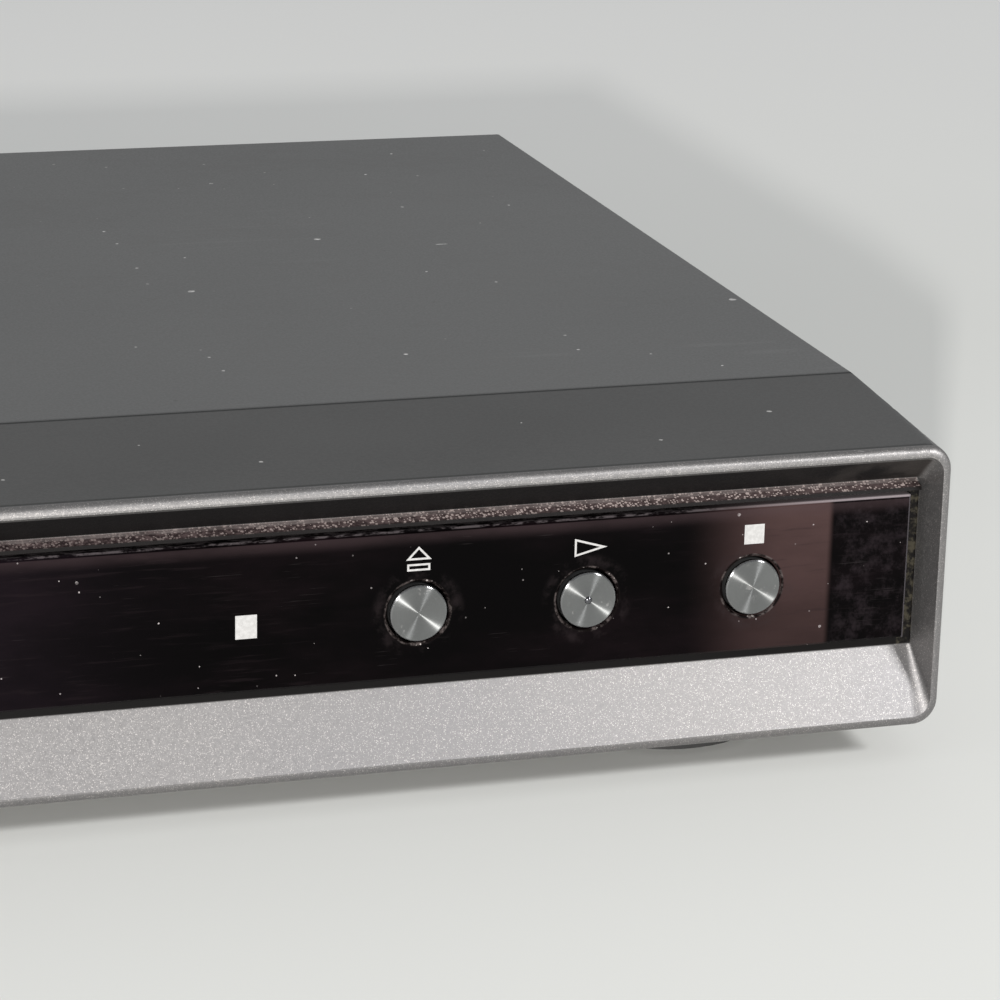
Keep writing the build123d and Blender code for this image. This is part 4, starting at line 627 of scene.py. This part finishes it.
def window_gloss():
    """Gloss black with a faint purple cast: smudged, finely scuffed, and worn round the buttons."""
    n = Nodes("window_gloss")
    x, y, z = n.axes()
    face = n.flat(x, z)
    mottle = n.noise(60.0, 5.0, 0.65, (0.35, 1.0, 1.0))
    painted_reflection = window_painted_reflection(n, x, z, mottle)
    # painted reflection: a brown patch towards the right end
    colour = n.lay(window_base(n, x, mottle), (0.046, 0.027, 0.026), painted_reflection, 0.9)

    # grey dust beyond the painted reflection
    beyond = n.ramp(x, *DUST_START)
    patches = n.ramp(n.noise(520.0, 5.0, 0.75), 0.42, 0.7)
    colour = n.lay(colour, (0.016, 0.012, 0.014), beyond, patches, 0.55)

    colour, hairs = window_scuffs(n, colour)
    dust = n.most(chips(n, face, 420.0, 0.10 * MM, 0.90), chips(n, face, 85.0, 0.20 * MM, 0.84))
    faint = n.ramp(n.noise(900.0, 2.0), 0.35, 0.65, 0.15, 0.7)
    colour = n.lay(colour, (0.34, 0.31, 0.31), dust, faint)
    colour, ring, broken = bore_wear(n, colour, face)
    colour, bevel = bevel_dust_and_highlight(n, colour, x, z, mottle)

    smear = n.ramp(n.noise(55.0, 5.0, 0.7, (1.0, 1.0, 2.5)), 0.4, 0.75, 0.05, 0.15)
    matt = n.most(dust, ring, bevel, painted_reflection)
    height = n.math("ADD", n.math("ADD", hairs, dust), n.times(ring, broken))
    n.set(
        Base_Color=colour,
        Roughness=n.math("ADD", smear, n.times(matt, 0.35), clamp=True),
        Specular_IOR_Level=0.05,
        Normal=n.bump(height, 0.15, 0.01 * MM),
    )
    return n.material


# ---------------------------------------------------------------- the buttons and their marks
def spun_metal(name, centre):
    """A turned button face: fine rings about the button's own axis, which spread light into rays."""
    n = Nodes(name)
    outward, radius = around(n, centre)
    radial = n.add("ShaderNodeVectorMath", operation="NORMALIZE")
    n.link(outward, radial.inputs[0])
    noise = n.add("ShaderNodeTexNoise", noise_dimensions="1D")
    noise.inputs["Scale"].default_value = 14000.0
    noise.inputs["Detail"].default_value = 1.0
    n.link(radius, noise.inputs["W"])
    rings = noise.outputs["Fac"]
    colour = n.mix(n.ramp(rings, 0.3, 0.7), (0.205, 0.210, 0.210), (0.245, 0.250, 0.250))
    colour = n.lay(colour, grey(0.15), n.ramp(n.noise(260.0, 3.0, 0.5), 0.35, 0.7, 0.0, 0.3))
    scuffs = n.ramp(n.noise(1500.0, 3.0, 0.6), 0.60, 0.66)
    patches = n.ramp(n.noise(300.0, 2.0), 0.52, 0.62)
    colour = n.lay(colour, (0.55, 0.53, 0.53), scuffs, patches, 0.5)
    # painted highlight: the edge of the face painted brighter
    colour = n.lay(colour, (0.36, 0.36, 0.37), n.ramp(radius, *FACE_EDGE_HIGHLIGHT), 0.6)
    n.set(
        Base_Color=colour,
        Metallic=1.0,
        Anisotropic=1.0,
        Roughness=n.ramp(rings, 0.2, 0.8, 0.235, 0.260),
        Tangent=radial.outputs[0],
        Normal=n.bump(rings, 0.03, 0.01 * MM),
    )
    return n.material


def print_white():
    """Screen-printed white, slightly thin and worn."""
    n = Nodes("print_white")
    worn = n.noise(1800.0, 3.0, 0.6)
    n.set(
        Base_Color=n.mix(n.ramp(worn, 0.35, 0.7), (0.31, 0.305, 0.30), (0.37, 0.365, 0.36)),
        Roughness=n.ramp(worn, 0.3, 0.7, 0.45, 0.6),
        Normal=n.bump(worn, 0.2, 0.01 * MM),
    )
    return n.material


def inset(corners, line):
    """The corners of a convex outline, moved inwards by the width of a line."""
    moved = []
    for i, here in enumerate(corners):
        arriving = (here - corners[i - 1]).normalized()
        leaving = (corners[(i + 1) % len(corners)] - here).normalized()
        reach = line / ((1 + arriving.dot(leaving)) / 2) ** 0.5
        moved.append(here + (leaving - arriving).normalized() * reach)
    return moved


def add_print(name, shapes, material):
    """Thin prints on the window; a shape is its corners, in mm, and the width of its line or None."""
    mesh = bmesh.new()
    front_y = WINDOW_Y - PRINT_RISE * MM
    back_y = WINDOW_Y + PRINT_SUNK * MM

    def loop(corners, y):
        return [mesh.verts.new((corner.x * MM, y, corner.y * MM)) for corner in corners]

    def walls(one, other):
        for i in range(len(one)):
            j = (i + 1) % len(one)
            mesh.faces.new((one[i], one[j], other[j], other[i]))

    for points, line in shapes:
        corners = [Vector(point) for point in points]
        front = loop(corners, front_y)
        back = loop(corners, back_y)
        walls(front, back)
        if line:
            hole = inset(corners, line)
            hole_front = loop(hole, front_y)
            hole_back = loop(hole, back_y)
            walls(hole_front, hole_back)
            walls(front, hole_front)
            walls(back, hole_back)
        else:
            mesh.faces.new(front)
            mesh.faces.new(back)
    bmesh.ops.recalc_face_normals(mesh, faces=mesh.faces)
    return add_piece(name, mesh, material)


def box_points(x, z, across, high):
    """The corners of an upright rectangle about its middle."""
    a, b = across / 2, high / 2
    return [(x - a, z - b), (x + a, z - b), (x + a, z + b), (x - a, z + b)]


def add_marks():
    """The printed marks over the buttons and at the remote sensor."""
    white = print_white()
    eject_arrow = [(EJECT_X - 1.62, 31.64), (EJECT_X + 1.62, 31.64), (EJECT_X, 33.36)]
    eject_bar = box_points(EJECT_X, 30.70, 2.9, 0.90)
    play_arrow = [(PLAY_X - 2.06, 30.50), (PLAY_X + 2.15, 31.58), (PLAY_X - 2.06, 32.84)]
    stop_square = box_points(STOP_X, 31.76, 2.62, 2.54)
    sensor_square = box_points(SENSOR_X, 24.75, 2.66, 3.0)
    marks = {
        "eject_mark": [(eject_arrow, LINE), (eject_bar, LINE)],
        "play_mark": [(play_arrow, LINE)],
        "stop_mark": [(stop_square, None)],
        "sensor_mark": [(sensor_square, None)],
    }
    for name, shapes in marks.items():
        piece = add_print(name, shapes, white)
        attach(piece, "root")


def add_play_dot():
    """The tiny polished dome at the middle of the play button, which a finger finds in the dark."""
    x, z = face_centre("play_button_cap")
    middle = Vector((x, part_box("play_button_cap")[0][1], z))
    mesh = bmesh.new()
    loops = []
    for ring in range(DOT_RINGS):
        angle = pi / 2 * ring / DOT_RINGS
        reach = DOT_RADIUS * MM * cos(angle)
        y = -DOT_RISE * MM * sin(angle)
        turns = [2 * pi * side / DOT_SIDES for side in range(DOT_SIDES)]
        loops.append([mesh.verts.new(middle + Vector((reach * cos(a), y, reach * sin(a)))) for a in turns])
    tip = mesh.verts.new(middle + Vector((0, -DOT_RISE * MM, 0)))
    for i in range(DOT_SIDES):
        j = (i + 1) % DOT_SIDES
        for one, other in zip(loops, loops[1:]):
            mesh.faces.new((one[i], one[j], other[j], other[i]))
        mesh.faces.new((loops[-1][i], loops[-1][j], tip))
    mesh.faces.new(loops[0])
    bmesh.ops.recalc_face_normals(mesh, faces=mesh.faces)
    metal = plain_finish("dot_metal", (0.20, 0.20, 0.21), (0.12, 0.12, 0.13), rough=(0.12, 0.2), metal=1.0,
                         scale=900.0, grain=6000.0, depth=0.002 * MM)
    piece = add_piece("play_dot", mesh, metal, smooth=True)
    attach(piece, "play_button")


# ---------------------------------------------------------------- the other pieces' finishes
def plain_finish(name, light, dark, rough=(0.4, 0.55), metal=0.0, scale=60.0, grain=1500.0, depth=0.02 * MM,
                 stretch=None, speck=None):
    """A finish with broad colour variation, and fine grain in its roughness and bump.

    scale and grain are waves to the metre, depth is the bump's, and speck is the colour and the number to
    the metre of optional specks.
    """
    n = Nodes(name)
    broad = n.noise(scale, 4.0, 0.6)
    fine = n.noise(grain, 2.0, 0.6, stretch)
    colour = n.mix(n.ramp(broad, 0.3, 0.7), dark, light)
    if speck:
        shade, number = speck
        spots = n.ramp(n.cells(number).outputs["Distance"], 0.05, 0.12, 1.0, 0.0)
        rare = n.ramp(n.noise(number * 0.4, 2.0), 0.56, 0.62)
        colour = n.lay(colour, shade, spots, rare)
    n.set(
        Base_Color=colour,
        Metallic=metal,
        Roughness=n.ramp(fine, 0.25, 0.75, *rough),
        Normal=n.bump(fine, 0.35, depth),
    )
    return n.material


OWN = {
    "cover_paint": cover_paint,
    "panel_paint": panel_paint,
    "window_gloss": window_gloss,
}
PLAIN = {
    "zinc_steel": dict(light=(0.62, 0.63, 0.62), dark=(0.5, 0.51, 0.52), rough=(0.28, 0.42), metal=1.0,
                       scale=220.0),
    "back_paint": dict(light=(0.030, 0.030, 0.032), dark=(0.020, 0.020, 0.022), grain=2400.0),
    "foot_plastic": dict(light=grey(0.03), dark=grey(0.018), rough=(0.5, 0.65)),
    "pad_rubber": dict(light=grey(0.05), dark=grey(0.03), rough=(0.75, 0.9), grain=900.0),
    "black_screw": dict(light=(0.06, 0.06, 0.065), dark=(0.03, 0.03, 0.033), rough=(0.3, 0.45), metal=0.8),
    "plated_screw": dict(light=(0.66, 0.66, 0.62), dark=(0.48, 0.47, 0.42), rough=(0.25, 0.4), metal=1.0),
    "circuit_board": dict(light=(0.012, 0.11, 0.045), dark=(0.006, 0.06, 0.026), rough=(0.28, 0.4),
                          speck=((0.7, 0.65, 0.5), 300.0)),
    "chip_plastic": dict(light=(0.035, 0.035, 0.038), dark=(0.02, 0.02, 0.022), rough=(0.5, 0.62)),
    "display_glass": dict(light=(0.08, 0.10, 0.10), dark=(0.05, 0.06, 0.06), rough=(0.05, 0.12)),
    "dark_lens": dict(light=(0.02, 0.012, 0.016), dark=(0.01, 0.006, 0.008), rough=(0.08, 0.15)),
    "tray_plastic": dict(light=(0.040, 0.040, 0.043), dark=(0.028, 0.028, 0.030), rough=(0.5, 0.65),
                         depth=0.04 * MM, speck=(grey(0.3), 500.0)),
    "frame_plastic": dict(light=(0.06, 0.06, 0.063), dark=(0.04, 0.04, 0.043), rough=(0.5, 0.65)),
    "motor_steel": dict(light=(0.6, 0.6, 0.58), dark=(0.45, 0.45, 0.44), rough=(0.22, 0.36), metal=1.0,
                        stretch=(1, 1, 12)),
    "gear_plastic": dict(light=(0.74, 0.73, 0.68), dark=(0.62, 0.61, 0.55), rough=(0.35, 0.5)),
    "belt_rubber": dict(light=grey(0.02), dark=grey(0.012), rough=(0.6, 0.8)),
    "deck_plastic": dict(light=(0.10, 0.10, 0.11), dark=(0.07, 0.07, 0.075), rough=(0.45, 0.6)),
    "turntable_plastic": dict(light=grey(0.04), dark=grey(0.025), rough=(0.35, 0.5)),
    "ground_shaft": dict(light=(0.72, 0.72, 0.73), dark=(0.6, 0.6, 0.62), rough=(0.1, 0.2), metal=1.0),
    "pinion_brass": dict(light=(0.72, 0.52, 0.22), dark=(0.55, 0.38, 0.15), rough=(0.2, 0.35), metal=1.0),
    "pickup_casting": dict(light=(0.36, 0.37, 0.39), dark=(0.26, 0.27, 0.29), rough=(0.4, 0.6), metal=0.9),
    "lens_glass": dict(light=(0.25, 0.35, 0.6), dark=(0.18, 0.25, 0.5), rough=(0.02, 0.08)),
    "magnet_iron": dict(light=(0.3, 0.3, 0.31), dark=(0.2, 0.2, 0.21), rough=(0.3, 0.5), metal=0.9),
    "can_sleeve": dict(light=(0.02, 0.02, 0.05), dark=(0.012, 0.012, 0.03), rough=(0.25, 0.4)),
    "sink_aluminium": dict(light=(0.55, 0.55, 0.56), dark=(0.42, 0.42, 0.44), rough=(0.35, 0.5), metal=1.0,
                           stretch=(1, 10, 1)),
    "ferrite_core": dict(light=(0.06, 0.06, 0.065), dark=(0.035, 0.035, 0.04), rough=(0.45, 0.7)),
    "jack_plastic": dict(light=(0.03, 0.03, 0.032), dark=(0.018, 0.018, 0.02), rough=(0.4, 0.55)),
    "jack_metal": dict(light=(0.75, 0.72, 0.66), dark=(0.6, 0.57, 0.5), rough=(0.15, 0.3), metal=1.0),
    "ribbon_plastic": dict(light=(0.7, 0.72, 0.76), dark=(0.5, 0.52, 0.58), rough=(0.25, 0.4)),
    "button_plastic": dict(light=grey(0.03), dark=(0.015, 0.015, 0.016), rough=(0.4, 0.6)),
}


def finish_nodes():
    """Gives each carried-over node the finish of its slot, and each button face its own spun finish."""
    made = {name: build() for name, build in OWN.items()}
    for name, values in PLAIN.items():
        made[name] = plain_finish(name, **values)
    for entry in frame["record"]["subparts"]:
        node, slot = entry["node"], entry["material_slot"]
        if slot == "cap_metal":
            material = spun_metal(node + "_face", face_centre(node))
        else:
            material = made[slot]
        for holder in frame["nodes"][node].material_slots:
            holder.material = material


# ---------------------------------------------------------------- assembly
bpy.context.scene.view_settings.view_transform = "Standard"
add_camera()
add_stage()
add_lamp("key", KEY_FROM, KEY_DISTANCE, KEY_SIZE, KEY_LEVEL, KEY_COLOUR)
add_lamp("soft", SOFT_FROM, SOFT_DISTANCE, SOFT_SIZE, SOFT_LEVEL, SOFT_COLOUR)
finish_nodes()
add_marks()
add_play_dot()
